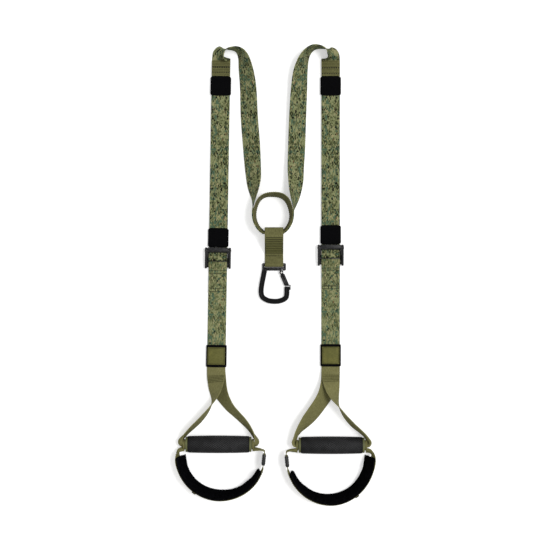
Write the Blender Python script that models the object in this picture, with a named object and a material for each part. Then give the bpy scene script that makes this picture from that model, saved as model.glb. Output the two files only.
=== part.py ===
"""Suspension trainer, laid flat: two webbing arms with buckles, handles and foot cradles on a carabiner."""

import math

import bmesh
import bpy
from mathutils import Matrix, Vector

MM = 0.001
FLAT = math.radians(90)

# Webbing and the room between touching pieces
WEB_WIDTH = 38 * MM
WEB_THICKNESS = 1.8 * MM
GAP = 0.3 * MM
RUN_CLEARANCE = 0.5 * MM
WEB_STEPS = 2
TWIST_STEP = math.radians(4)
OVERRUN = 2 * MM

# Layers above the table: one wrapped layer lies under the straps, the return layer above them
LAYER = WEB_THICKNESS + GAP
LIFT = LAYER
LOW_LEVEL = LIFT + WEB_THICKNESS / 2
HIGH_LEVEL = LOW_LEVEL + LAYER

# Equalizer ring, standing on edge, and the anchor loop over it
RING_X = -5.2 * MM
RING_Y = 123 * MM
RING_HALF_WIDTH = 37.5 * MM
RING_HALF_HEIGHT = 42 * MM
RING_LEAN = math.radians(7)
RING_POINTS = 40
ANCHOR_EYE_GAP = 3 * MM
ANCHOR_STITCH_SHARE = 0.3

# Carabiner
CARABINER_X = -3 * MM
CARABINER_Y = 20 * MM
CARABINER_HEIGHT = 84 * MM
CARABINER_WIDTH = 64 * MM
STOCK_RADIUS = 5.4 * MM
EYE_BAR_RADIUS = 3 * MM
EYE_SIDE = 5 * MM
EYE_DEPTH = 7.4 * MM
CROSSBAR = 7 * MM
GATE_RADIUS = 4.4 * MM
RIVET_RADIUS = 1.2 * MM
RIVET_HEAD = 1.8 * MM
CLEVIS_THICKNESS = 1.5 * MM
CLEVIS_RADIUS = 3.9 * MM
KNUCKLE_RADIUS = 3.5 * MM
GATE_BORE = 1.4 * MM
PLUNGER_RADIUS = 1.1 * MM
PLUNGER_LENGTH = 2 * MM
GATE_SPRING_WIRE = 0.35 * MM
GATE_SPRING_TURNS = 3
GATE_SPRING_PITCH = 0.8 * MM

# Arms: distances down each arm from the top of its buckle
KEEPER_LENGTH = 40 * MM
TAB_LENGTH = 31 * MM
TAB_UNDERLAP = 14 * MM
BEND_LAP = 12 * MM
BUCKLE_LENGTH = 43.5 * MM
SEWN_LENGTH = 93 * MM
LABEL_LENGTH = 46 * MM
PATCH_SIDE = 35.4 * MM
PATCH_THICKNESS = 1 * MM

# Cam buckle
CHEEK_THICKNESS = 3 * MM
CHEEK_HEIGHT = 14.6 * MM
CHEEK_ROOM = 3.6 * MM
TURN_BAR_RADIUS = 2 * MM
LOWER_BAR_RADIUS = 2.5 * MM
TURN_BAR_DROP = 23 * MM
LOWER_BAR_DROP = 33.4 * MM
ANVIL_LENGTH = 11 * MM
CAM_DROP = 6.4 * MM
CAM_RADIUS = 4.2 * MM
CAM_TOOTH = 0.5 * MM
CAM_TEETH = 5
CAM_TURN = math.radians(25)
CAM_PIN_RADIUS = 1.5 * MM
PIN_CLEARANCE = 0.1 * MM
LIP_REACH = 6.3 * MM
LIP_THICKNESS = 3.4 * MM
FLANGE_THICKNESS = 2.2 * MM
FLANGE_LENGTH = 22 * MM
SPRING_WIRE = 0.9 * MM
SPRING_RADIUS = 2.2 * MM
SPRING_TURNS = 2.5
SPRING_PITCH = 1.4 * MM
SPRING_LEG = 6.6 * MM
STRAP_SLOPE = math.radians(25)

# Handle and grip
GRIP_LENGTH = 126 * MM
GRIP_END_RADIUS = 16.6 * MM
GRIP_SWELL = 1 * MM
TUBE_RADIUS = 14 * MM
TUBE_BORE = 11.8 * MM
CAP_THICKNESS = 4 * MM
CAP_RADIUS = 15.6 * MM
BUNCHED_SHARE = 0.42
EYE_WIDTH = 5 * MM
EYE_BORE = 9 * MM
HANDLE_TURN = 5 * MM

# Foot cradle
FOOT_WEB = 25 * MM
PAD_WIDTH = 42 * MM
PAD_THICKNESS = 7.4 * MM
PAD_EDGE_SHARE = 0.45
FOOT_FLARE = 12.9 * MM
SLIDER_LENGTH = 22 * MM
SLIDER_WALL = 2.4 * MM
FOOT_KEEPER_LENGTH = 9 * MM
FOOT_KEEPER_THICKNESS = 1.6 * MM
FOOT_KEEPER_SHARE = 0.32
STRAIGHT_RUN = 31 * MM
STRAIGHT_START = 3 * MM
STRAIGHT_LEAN = math.radians(6)
FOOT_START = math.radians(-2)
FOOT_END = math.radians(-163)
FOOT_STATIONS = 9
PAD_START_SHARE = 0.03
HEAD_SHARES = ((0.03, 0.4), (0.13, 0.72), (0.3, 0.9), (0.5, 0.98), (1.0, 1.0))

GRIP_AXIS_HEIGHT = GRIP_END_RADIUS + GRIP_SWELL

# One row a side: where the buckle's top lies, how the arm leans and the lengths that differ in the lay
ARMS = {
    "left": dict(side=-1, x=-118 * MM, y=55 * MM, tilt=math.radians(-0.93), run=384 * MM, lower=200 * MM,
                 drop=203 * MM, shift=8 * MM, bend_rise=29 * MM, foot_drop=80 * MM, foot_back=24 * MM,
                 foot_shift=6 * MM),
    "right": dict(side=1, x=113.4 * MM, y=61 * MM, tilt=0.0, run=378 * MM, lower=204.5 * MM,
                  drop=206.5 * MM, shift=-1.5 * MM, bend_rise=27 * MM, foot_drop=88 * MM, foot_back=23 * MM,
                  foot_shift=5 * MM),
}

# Inner strand and top bend: share of the way out from the ring to the arm, share of the way up to the
# bend's top, and the lean from upright in shares of a right angle, out being positive
STRAND_SHARES = {
    "left": [(0.385, 0.04, 0.0), (0.371, 0.089, 0.12), (0.366, 0.13, 0.3), (0.37, 0.18, 0.5),
             (0.374, 0.22, 0.6), (0.389, 0.286, 0.68), (0.412, 0.396, 0.76), (0.457, 0.58, 0.76),
             (0.482, 0.764, 0.68), (0.526, 0.874, 0.55), (0.564, 0.945, 0.38), (0.625, 0.982, 0.24),
             (0.72, 1.001, 0.11), (0.8, 1.003, 0.03), (0.862, 1.0, -0.02), (0.904, 0.998, -0.06),
             (0.941, 0.991, -0.12), (0.968, 0.98, -0.22), (0.985, 0.967, -0.4), (0.996, 0.953, -0.64),
             (1.0, 0.94, -0.9)],
    "right": [(0.362, 0.036, 0.05), (0.374, 0.087, 0.26), (0.383, 0.136, 0.44), (0.395, 0.207, 0.62),
              (0.395, 0.28, 0.7), (0.409, 0.388, 0.76), (0.426, 0.568, 0.76), (0.452, 0.748, 0.69),
              (0.478, 0.856, 0.55), (0.53, 0.928, 0.36), (0.6, 0.97, 0.22), (0.7, 0.996, 0.11),
              (0.8, 1.003, 0.03), (0.877, 1.0, -0.02), (0.915, 0.998, -0.06), (0.948, 0.991, -0.12),
              (0.972, 0.98, -0.22), (0.987, 0.967, -0.4), (0.997, 0.953, -0.64), (1.0, 0.94, -0.9)],
}

# Handle strap: share of the grip's half span outwards, share of the drop from the label, lean and bunching
FRONT_LEG_SHARES = {
    "left": [(0.071, 0.925, 0.96, 1.0), (0.072, 0.88, 0.87, 1.0), (0.074, 0.84, 0.76, 1.0),
             (0.08, 0.75, 0.58, 1.0), (0.105, 0.65, 0.32, 1.0), (0.17, 0.54, 0.04, 1.0),
             (0.3, 0.43, -0.1, 1.0), (0.5, 0.31, -0.16, 1.0), (0.73, 0.2, -0.15, 0.95),
             (0.9, 0.115, -0.1, 0.75)],
    "right": [(-0.02, 0.925, 0.96, 1.0), (-0.018, 0.88, 0.87, 1.0), (-0.008, 0.82, 0.76, 1.0),
              (0.022, 0.72, 0.56, 1.0), (0.085, 0.61, 0.3, 1.0), (0.19, 0.5, 0.02, 1.0),
              (0.36, 0.37, -0.12, 1.0), (0.55, 0.265, -0.16, 1.0), (0.75, 0.175, -0.15, 0.9),
              (0.9, 0.105, -0.1, 0.72)],
}
BACK_LEG_SHARES = {
    "left": [(-0.93, 0.115, -0.12, 0.72), (-0.81, 0.21, -0.2, 0.92), (-0.66, 0.3, -0.26, 1.0),
             (-0.48, 0.39, -0.3, 1.0), (-0.3, 0.48, -0.36, 1.0), (-0.15, 0.59, -0.46, 1.0),
             (-0.04, 0.7, -0.64, 1.0), (0.03, 0.81, -0.84, 1.0), (0.062, 0.91, -0.97, 1.0)],
    "right": [(-0.93, 0.115, -0.16, 0.72), (-0.8, 0.22, -0.32, 0.92), (-0.64, 0.32, -0.46, 1.0),
              (-0.47, 0.42, -0.54, 1.0), (-0.32, 0.52, -0.56, 1.0), (-0.19, 0.62, -0.62, 1.0),
              (-0.1, 0.72, -0.72, 1.0), (-0.042, 0.82, -0.86, 1.0), (-0.024, 0.91, -0.97, 1.0)],
}
LABEL_SHARES = (0.5, 0.8, 1.03, 1.12)
OVERLAP_SHARE = 0.6
LEAN_SHARES = {"left": (0.24, 0.25, 0.03), "right": (0.26, 0.26, 0.03)}


def clear_scene():
    for old in list(bpy.data.objects):
        bpy.data.objects.remove(old, do_unlink=True)


def collection(name):
    made = bpy.data.collections.new(name)
    bpy.context.scene.collection.children.link(made)
    return made


def material(name, colour, roughness, metallic=0.0):
    made = bpy.data.materials.new(name)
    made.use_nodes = True
    made.diffuse_color = (*colour, 1)
    shader = made.node_tree.nodes["Principled BSDF"]
    shader.inputs["Base Color"].default_value = (*colour, 1)
    shader.inputs["Roughness"].default_value = roughness
    shader.inputs["Metallic"].default_value = metallic
    return made


def place(obj, stuff, parent=None, at=(0, 0, 0), turn=(0, 0, 0)):
    """Put a new object into the part's collection, under its parent, with its material."""
    for old in list(obj.users_collection):
        old.objects.unlink(obj)
    PIECES.objects.link(obj)
    if stuff is not None:
        obj.data.materials.clear()
        obj.data.materials.append(stuff)
    obj.parent = parent
    obj.location = at
    obj.rotation_euler = turn
    return obj


def empty(name, at, turn=(0, 0, 0), parent=None):
    made = bpy.data.objects.new(name, None)
    PIECES.objects.link(made)
    made.parent = parent
    made.location = at
    made.rotation_euler = turn
    return made


def meshed(obj):
    """Turn a curve, or an object with modifiers, into a closed mesh object of the same name and place."""
    bpy.context.view_layer.update()
    seen = obj.evaluated_get(bpy.context.evaluated_depsgraph_get())
    mesh = bpy.data.meshes.new_from_object(seen)
    work = bmesh.new()
    work.from_mesh(mesh)
    bmesh.ops.remove_doubles(work, verts=work.verts, dist=GAP / 1000)
    work.to_mesh(mesh)
    work.free()
    name, parent, at, turn = obj.name, obj.parent, tuple(obj.location), tuple(obj.rotation_euler)
    bpy.data.objects.remove(obj, do_unlink=True)
    made = bpy.data.objects.new(name, mesh)
    PIECES.objects.link(made)
    made.parent = parent
    made.location = at
    made.rotation_euler = turn
    return made


def dress(obj, stuff):
    """Give a finished mesh its material, where it stands."""
    obj.data.materials.clear()
    obj.data.materials.append(stuff)
    return obj


def combine(obj, others, operation):
    """Join others to obj, or cut them from it, one Boolean each, and remove them."""
    for other in others:
        step = obj.modifiers.new(other.name, "BOOLEAN")
        step.operation = operation
        step.solver = "EXACT"
        step.object = other
    made = meshed(obj)
    for other in others:
        bpy.data.objects.remove(other, do_unlink=True)
    return made


def solid(name, build, stuff, parent=None, at=(0, 0, 0), turn=(0, 0, 0)):
    """A mesh object whose shape build(bm) makes."""
    mesh = bpy.data.meshes.new(name)
    work = bmesh.new()
    build(work)
    work.to_mesh(mesh)
    work.free()
    return place(bpy.data.objects.new(name, mesh), stuff, parent, at, turn)


def box(name, low, high, stuff=None, parent=None, at=(0, 0, 0), turn=(0, 0, 0)):
    low, high = Vector(low), Vector(high)
    size = high - low

    def build(work):
        bmesh.ops.create_cube(work, size=1)
        bmesh.ops.scale(work, verts=work.verts, vec=size)
        bmesh.ops.translate(work, verts=work.verts, vec=(low + high) / 2)

    return solid(name, build, stuff, parent, at, turn)


def rod(name, start, end, radius, stuff=None, parent=None, sides=16, at=(0, 0, 0), turn=(0, 0, 0)):
    """A round bar between two points."""
    start, end = Vector(start), Vector(end)
    run = end - start

    def build(work):
        bmesh.ops.create_cone(work, cap_ends=True, segments=sides, radius1=radius, radius2=radius,
                              depth=run.length)
        spin = Vector((0, 0, 1)).rotation_difference(run).to_matrix()
        bmesh.ops.rotate(work, verts=work.verts, cent=(0, 0, 0), matrix=spin)
        bmesh.ops.translate(work, verts=work.verts, vec=(start + end) / 2)

    return solid(name, build, stuff, parent, at, turn)


def turned_along_x(name, profile, stuff, parent=None, at=(0, 0, 0), steps=22):
    """A closed ring of (place along X, radius) points turned about the X axis."""

    def build(work):
        rings = []
        for step in range(steps):
            angle = math.tau * step / steps
            rings.append([work.verts.new((along, radius * math.cos(angle), radius * math.sin(angle)))
                          for along, radius in profile])
        for step in range(steps):
            this, following = rings[step], rings[(step + 1) % steps]
            for k in range(len(profile)):
                after = (k + 1) % len(profile)
                work.faces.new((this[k], this[after], following[after], following[k]))
        bmesh.ops.recalc_face_normals(work, faces=work.faces)

    made = solid(name, build, stuff, parent, at)
    made.data.shade_smooth()
    made.data.set_sharp_from_angle(angle=FLAT / 3)
    return made


def curve_object(name, points, closed, **settings):
    """A curve of straight pieces through (x, y, z, tilt, radius) points."""
    data = bpy.data.curves.new(name, "CURVE")
    for key, value in settings.items():
        setattr(data, key, value)
    spline = data.splines.new("POLY")
    spline.points.add(len(points) - 1)
    for spot, (x, y, z, tilt, radius) in zip(spline.points, points):
        spot.co = (x, y, z, 1)
        spot.tilt = tilt
        spot.radius = radius
    spline.use_cyclic_u = closed
    return bpy.data.objects.new(name, data)


def between(one, two, start, end, t):
    """The row at t on the line from one, at start, to two, at end."""
    return (one * (end - t) + two * (t - start)) / (end - start)


def smooth(stations, least_steps=WEB_STEPS):
    """Points on one smooth curve through (x, y, z, tilt, radius) stations, close together or far apart."""
    rows = [Vector(row) for row in stations]
    rows = [rows[0] * 2 - rows[1]] + rows + [rows[-1] * 2 - rows[-2]]
    out = []
    for near in zip(rows, rows[1:], rows[2:], rows[3:]):
        knots = [0.0]
        for one, two in zip(near, near[1:]):
            knots.append(knots[-1] + math.sqrt((two.xy - one.xy).length))
        steps = max(least_steps, math.ceil(abs(near[2][3] - near[1][3]) / TWIST_STEP))
        for step in range(steps):
            t = knots[1] + (knots[2] - knots[1]) * step / steps
            first = [between(near[k], near[k + 1], knots[k], knots[k + 1], t) for k in range(3)]
            second = [between(first[k], first[k + 1], knots[k], knots[k + 2], t) for k in range(2)]
            out.append(tuple(between(*second, knots[1], knots[2], t)))
    return out + [tuple(stations[-1])]


def ribbon(name, points, width, thickness, stuff, parent=None, closed=False):
    """Webbing along points whose tilt is 0 on edge and a right angle when flat."""
    made = curve_object(name, points, closed, dimensions="3D", twist_mode="Z_UP", fill_mode="FULL",
                        use_fill_caps=True, extrude=(width - thickness) / 2, bevel_depth=thickness / 2,
                        bevel_resolution=0)
    return place(made, stuff, parent)


def edge_height(tilt, width=WEB_WIDTH, thickness=WEB_THICKNESS):
    """Height of a ribbon's centre over the surface that its lower edge touches."""
    return abs(math.cos(tilt)) * width / 2 + abs(math.sin(tilt)) * thickness / 2


def across_band(name, path, width, thickness, stuff, parent, closed=False, at=(0, 0, 0)):
    """Webbing folded along a path of (along the arm, up) points, as wide as the arm is across."""
    points = [(along, up, 0, 0, 1) for along, up in path]
    made = ribbon(name, points, width, thickness, stuff, parent, closed)
    return place(made, stuff, parent, at, (FLAT, 0, FLAT))


def ring_band(name, inner_width, inner_height, length, wall, stuff, parent, middle, spin=0.0):
    """A band with rounded corners round a strap that runs along Y, turned by spin about Z."""
    half_w, half_h = (inner_width + wall) / 2, (inner_height + wall) / 2
    path = []
    for quarter, (x, y) in enumerate(((1, 1), (-1, 1), (-1, -1), (1, -1))):
        centre = (x * (half_w - wall), y * (half_h - wall))
        path += arc(centre, wall, quarter * FLAT, (quarter + 1) * FLAT, 3)
    points = [(x, z, 0, 0, 1) for x, z in path]
    made = curve_object(name, points, True, dimensions="2D", fill_mode="NONE", extrude=(length - wall) / 2,
                        bevel_depth=wall / 2, bevel_resolution=0)
    return place(made, stuff, parent, middle, (FLAT, 0, spin))


def sleeve(name, length, up, root):
    """A black band round both layers of the strap, from up down the arm."""
    low = LOW_LEVEL - WEB_THICKNESS / 2 - GAP
    high = HIGH_LEVEL + WEB_THICKNESS / 2 + GAP
    ring_band(name, WEB_WIDTH + GAP * 2, high - low, length, WEB_THICKNESS, ELASTIC, root,
              (0, up - length / 2, (low + high) / 2))
    return high + WEB_THICKNESS


def arc(centre, radius, start, end, count):
    """Points on an arc, from one angle to another."""
    return [(centre[0] + radius * math.cos(start + (end - start) * k / (count - 1)),
             centre[1] + radius * math.sin(start + (end - start) * k / (count - 1))) for k in range(count)]


def plate(name, outline, thickness, stuff=None, parent=None, at=(0, 0, 0), turn=(0, 0, 0)):
    """A flat plate with the given outline, half its thickness to each side."""
    points = [(x, y, 0, 0, 1) for x, y in outline]
    made = curve_object(name, points, True, dimensions="2D", fill_mode="BOTH", extrude=thickness / 2)
    return place(made, stuff, parent, at, turn)


def helix(radius, turns, pitch, per_turn=9):
    """Points of a coil round the X axis."""
    count = round(turns * per_turn)
    out = []
    for k in range(count + 1):
        angle = math.tau * k / per_turn
        out.append((pitch * k / per_turn, radius * math.cos(angle), radius * math.sin(angle), 0, 1))
    return out


def wire(name, points, diameter, stuff, parent=None, at=(0, 0, 0), turn=(0, 0, 0)):
    places = [Vector(point[:3]) for point in points]
    least = min((a - b).length for k, a in enumerate(places) for b in places[k + 5:])
    print(f"{name}: least gap to itself {(least - diameter) / MM:.2f} mm")
    made = curve_object(name, points, False, dimensions="3D", fill_mode="FULL", use_fill_caps=True,
                        bevel_depth=diameter / 2, bevel_resolution=1)
    return place(made, stuff, parent, at, turn)


# Equalizer, anchor loop and main straps

def ring_point(angle, out=0.0):
    """A point on the ring's centre line, or out from it."""
    return (RING_X + (RING_HALF_WIDTH + out) * math.cos(angle),
            RING_Y + (RING_HALF_HEIGHT + out) * math.sin(angle))


def equalizer_loop():
    points = []
    for k in range(RING_POINTS):
        x, y = ring_point(math.tau * k / RING_POINTS)
        points.append((x, y, LIFT + edge_height(RING_LEAN), RING_LEAN, 1))
    ribbon("equalizer_loop", points, WEB_WIDTH, WEB_THICKNESS, OLIVE, closed=True)


def anchor_loop():
    """Webbing over the ring's lower arc and round the carabiner's eye bar, in a plane along Y and up."""
    turn = EYE_BAR_RADIUS + GAP + WEB_THICKNESS / 2
    bar_y, bar_z = CARABINER_Y, eye_bar_height()
    ring_low = RING_Y - RING_HALF_HEIGHT
    lean_room = WEB_WIDTH * math.sin(RING_LEAN)
    outer_y = ring_low - LAYER * 2 - lean_room / 2 - ANCHOR_EYE_GAP
    chord = (WEB_WIDTH / 2 + abs(RING_X - CARABINER_X)) / RING_HALF_WIDTH
    inner_y = ring_low + RING_HALF_HEIGHT * (1 - math.sqrt(1 - chord ** 2)) + lean_room / 2 + LAYER
    top = LIFT + WEB_WIDTH + GAP * 2 + WEB_THICKNESS / 2
    low = WEB_THICKNESS / 2
    radius = LAYER
    stitch_y = bar_y + (outer_y - bar_y) * ANCHOR_STITCH_SHARE
    path = arc((bar_y, bar_z), turn, FLAT * 0.4, 3 * FLAT, 12)
    path += [(stitch_y, low), (outer_y, low)]
    path += arc((inner_y + LAYER - radius, low + radius), radius, 3 * FLAT, 4 * FLAT, 4)
    path += arc((inner_y + LAYER - radius * 2, top - radius * 2), radius * 2, 0, FLAT, 5)
    path += arc((outer_y + radius * 2, top - radius * 2), radius * 2, FLAT, FLAT * 1.5, 4)
    path += [(stitch_y + WEB_WIDTH / 4, low + LAYER + WEB_WIDTH / 16), (stitch_y, low + LAYER)]
    across_band("anchor_loop", path, WEB_WIDTH, WEB_THICKNESS, OLIVE, None, True, (CARABINER_X, 0, 0))


def bend_top(arm):
    """Where an arm's top bend reaches: the arm's line, carried on above the tab."""
    length = arm["run"] + arm["bend_rise"]
    return (arm["x"] + math.sin(-arm["tilt"]) * length, arm["y"] + math.cos(arm["tilt"]) * length)


def main_strap(name, arm):
    """From the ring's lower arc, up the inner strand, over the bend on edge and flat under the tab."""
    side = arm["side"]
    top_x, top_y = bend_top(arm)
    stations = []
    sewn = -FLAT + side * FLAT * 0.3
    leave = 0.0 if side > 0 else -2 * FLAT
    for k in range(5):
        x, y = ring_point(sewn + (leave - sewn) * k / 4 * 0.94, LAYER + GAP)
        stations.append((x, y, LIFT, RING_LEAN, 1))
    for out_share, up_share, lean_share in STRAND_SHARES[name]:
        x = RING_X + (top_x - RING_X) * out_share
        y = RING_Y + (top_y - RING_Y) * up_share
        stations.append((x, y, LIFT * (1 - up_share), -lean_share * FLAT, 1))
    for lap in (-BEND_LAP / 4, BEND_LAP / 4, BEND_LAP):
        stations.append((*arm_point(arm, 0, arm["run"] - lap), 0, FLAT, 1))
    points = [(x, y, lift + edge_height(tilt), tilt * side, 1) for x, y, lift, tilt, _ in smooth(stations)]
    ribbon(name + "_main_strap", points, WEB_WIDTH, WEB_THICKNESS, CAMO)


def arm_point(arm, out, up):
    """World X and Y of a point out from the arm's line and up from its buckle's top."""
    cos, sin = math.cos(arm["tilt"]), math.sin(arm["tilt"])
    x = out * arm["side"]
    return (arm["x"] + x * cos - up * sin, arm["y"] + x * sin + up * cos)


# Carabiner

def eye_bar_height():
    return EYE_BAR_RADIUS + GAP + WEB_THICKNESS


def carabiner():
    axis = empty("carabiner_axis", (CARABINER_X, CARABINER_Y, eye_bar_height()))
    eye_half = WEB_WIDTH / 2 + RUN_CLEARANCE
    outer = eye_half + EYE_SIDE
    loop_reach = EYE_BAR_RADIUS + LAYER + GAP
    half = EYE_DEPTH / 2
    bar_end = eye_half + EYE_SIDE / 2
    bar = rod("carabiner_body", (-bar_end, 0, 0), (bar_end, 0, 0), EYE_BAR_RADIUS, parent=axis)
    join = []
    for side in (-1, 1):
        low_x, high_x = sorted((side * eye_half, side * outer))
        join.append(box("ear", (low_x, -loop_reach - CROSSBAR, -half),
                        (high_x, EYE_BAR_RADIUS * 1.04, half), parent=axis))
    inset = half * 0.94
    join.append(box("crossbar", (-outer + EYE_SIDE / 2, -loop_reach - CROSSBAR * 0.98, -inset),
                    (outer - EYE_SIDE / 2, -loop_reach, inset), parent=axis))
    shoulder = -loop_reach - CROSSBAR
    foot = EYE_BAR_RADIUS - CARABINER_HEIGHT
    reach = CARABINER_WIDTH / 2 - STOCK_RADIUS
    lift = STOCK_RADIUS - eye_bar_height()
    hook = gate_end(shoulder)
    route = [(-outer + STOCK_RADIUS, shoulder + CROSSBAR / 2), (-reach, foot + reach * 0.95),
             (-reach * 0.9, foot + reach * 0.55), (-reach * 0.5, foot + STOCK_RADIUS * 1.4),
             (0, foot + STOCK_RADIUS), (reach * 0.5, foot + STOCK_RADIUS * 1.25),
             (reach * 0.92, foot + reach * 0.5), (hook[0], hook[1] - GATE_RADIUS * 0.7)]
    points = smooth([(x, y, lift, 0, 1) for x, y in route], 5)
    stock = curve_object("stock", points, False, dimensions="3D", fill_mode="FULL", use_fill_caps=True,
                         bevel_depth=STOCK_RADIUS, bevel_resolution=3)
    join.append(meshed(place(stock, None, axis)))
    pivot = gate_pivot(shoulder)
    for z in (-1, 1):
        near, far = z * (tongue_half() + GAP), z * (tongue_half() + GAP + CLEVIS_THICKNESS)
        join.append(rod("clevis", (*pivot, near), (*pivot, far), CLEVIS_RADIUS, parent=axis, sides=20))
        near, far = sorted((near * 1.04, far * 0.97))
        join.append(box("clevis_root", (pivot[0] - CLEVIS_RADIUS * 0.9, pivot[1], near),
                        (pivot[0] + CLEVIS_RADIUS * 0.9, shoulder + CROSSBAR / 2, far), parent=axis))
    body = combine(bar, join, "UNION")
    cuts = [rod("rivet_hole", (*pivot, -half - OVERRUN), (*pivot, half + OVERRUN),
                RIVET_RADIUS + PIN_CLEARANCE, parent=axis),
            rod("plunger_bore", (pivot[0], shoulder - OVERRUN / 4, 0),
                (pivot[0], shoulder + CROSSBAR - GAP * 3, 0), GATE_BORE, parent=axis)]
    dress(combine(body, cuts, "DIFFERENCE"), BLACK_METAL)
    plunger_low = pivot[1] + KNUCKLE_RADIUS + GAP
    plunger_high = plunger_low + PLUNGER_LENGTH
    rod("carabiner_gate_plunger", (pivot[0], plunger_low, 0), (pivot[0], plunger_high, 0), PLUNGER_RADIUS,
        BRIGHT_METAL, axis)
    coil = helix(GATE_BORE - GATE_SPRING_WIRE / 2 - GAP, GATE_SPRING_TURNS, GATE_SPRING_PITCH)
    start = plunger_high + GAP + GATE_SPRING_WIRE / 2
    wire("carabiner_gate_spring", [(pivot[0] + y, start + x, z, 0, 1) for x, y, z, _, _ in coil],
         GATE_SPRING_WIRE, BRIGHT_METAL, axis)
    gate(axis, pivot, hook)


def tongue_half():
    """Half the thickness of the gate's tongue between the clevis ears."""
    return EYE_DEPTH / 2 - CLEVIS_THICKNESS - GAP


def gate_pivot(shoulder):
    return (CARABINER_WIDTH / 2 * 0.47, shoulder - KNUCKLE_RADIUS - GAP * 2)


def gate_end(shoulder):
    return (CARABINER_WIDTH / 2 * 0.83, shoulder - CARABINER_HEIGHT * 0.37)


def gate(axis, pivot, hook):
    """The gate swings about its rivet, its tongue between the clevis ears."""
    hinge = empty("gate_axis", (*pivot, 0), parent=axis)
    run = Vector((hook[0] - pivot[0], hook[1] - pivot[1]))
    lean = math.atan2(run.x, -run.y)
    half = tongue_half()
    start = -CLEVIS_RADIUS - GAP * 2
    end = GAP - run.length
    body = rod("carabiner_gate", (0, start, 0), (0, end, 0), GATE_RADIUS, parent=hinge, sides=20)
    knuckle = rod("knuckle", (0, 0, -half), (0, 0, half), KNUCKLE_RADIUS, parent=hinge, sides=20)
    neck = box("neck", (-KNUCKLE_RADIUS * 0.95, start - OVERRUN, -half), (KNUCKLE_RADIUS * 0.95, 0, half),
               parent=hinge)
    body = combine(body, [knuckle, neck], "UNION")
    hole = rod("hole", (0, 0, -OVERRUN - half), (0, 0, OVERRUN + half), RIVET_RADIUS + PIN_CLEARANCE,
               parent=hinge)
    body = combine(body, [hole], "DIFFERENCE")
    body.rotation_euler = (0, 0, lean)
    dress(body, GATE_METAL)
    head = half + GAP * 2 + CLEVIS_THICKNESS
    top = head + RIVET_HEAD / 2
    rivet = rod("carabiner_gate_rivet", (0, 0, -top), (0, 0, top), RIVET_RADIUS, None, hinge)
    heads = [rod("head", (0, 0, z * head), (0, 0, z * top), RIVET_RADIUS * 2, parent=hinge)
             for z in (-1, 1)]
    dress(combine(rivet, heads, "UNION"), BRIGHT_METAL)


# Arms

def turn_bar_height():
    return LOW_LEVEL + TURN_BAR_RADIUS + GAP + WEB_THICKNESS / 2


def lower_bar_height():
    return LOW_LEVEL + LOWER_BAR_RADIUS + GAP + WEB_THICKNESS / 2


def cam_height():
    return HIGH_LEVEL + WEB_THICKNESS / 2 + GAP + CAM_RADIUS + CAM_TOOTH


def adjust_tab(name, arm, root):
    """Olive webbing folded over the strap's end: a short layer below, the full layer above."""
    top, low, high = arm["run"], LOW_LEVEL, HIGH_LEVEL + LAYER
    radius = (high - low) / 2
    path = [(top - TAB_UNDERLAP, low), (top - radius * 1.5, low)]
    path += arc((top - radius, low + radius), radius, -FLAT, FLAT, 7)
    path += [(top - radius * 1.5, high), (top - TAB_LENGTH, high)]
    across_band(name + "_adjust_tab", path, WEB_WIDTH, WEB_THICKNESS, OLIVE, root)


def strap_runs(name, arm, root):
    """The low run from the bend to the buckle, the turn inside the buckle and the run back up."""
    top, butt = arm["run"], GAP / 2
    start = top - BEND_LAP - GAP
    path = [(start, WEB_THICKNESS / 2), (top - TAB_UNDERLAP - GAP, WEB_THICKNESS / 2),
            (top - TAB_LENGTH + GAP, LOW_LEVEL), (butt, LOW_LEVEL)]
    across_band(name + "_main_run", path, WEB_WIDTH, WEB_THICKNESS, CAMO, root)
    path = [(top - WEB_THICKNESS * 3, HIGH_LEVEL), (butt, HIGH_LEVEL)]
    across_band(name + "_return_run", path, WEB_WIDTH, WEB_THICKNESS, CAMO, root)
    radius = TURN_BAR_RADIUS + GAP + WEB_THICKNESS / 2
    bar = (-TURN_BAR_DROP, turn_bar_height())
    turn = arc(bar, radius, 3 * FLAT, FLAT - STRAP_SLOPE, 10)
    along, up = turn[-1]
    level = along + (up - HIGH_LEVEL) / math.tan(STRAP_SLOPE)
    path = [(-butt, LOW_LEVEL)] + turn + [(level, HIGH_LEVEL), (-butt, HIGH_LEVEL)]
    across_band(name + "_buckle_turn", path, WEB_WIDTH, WEB_THICKNESS, CAMO, root)


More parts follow.
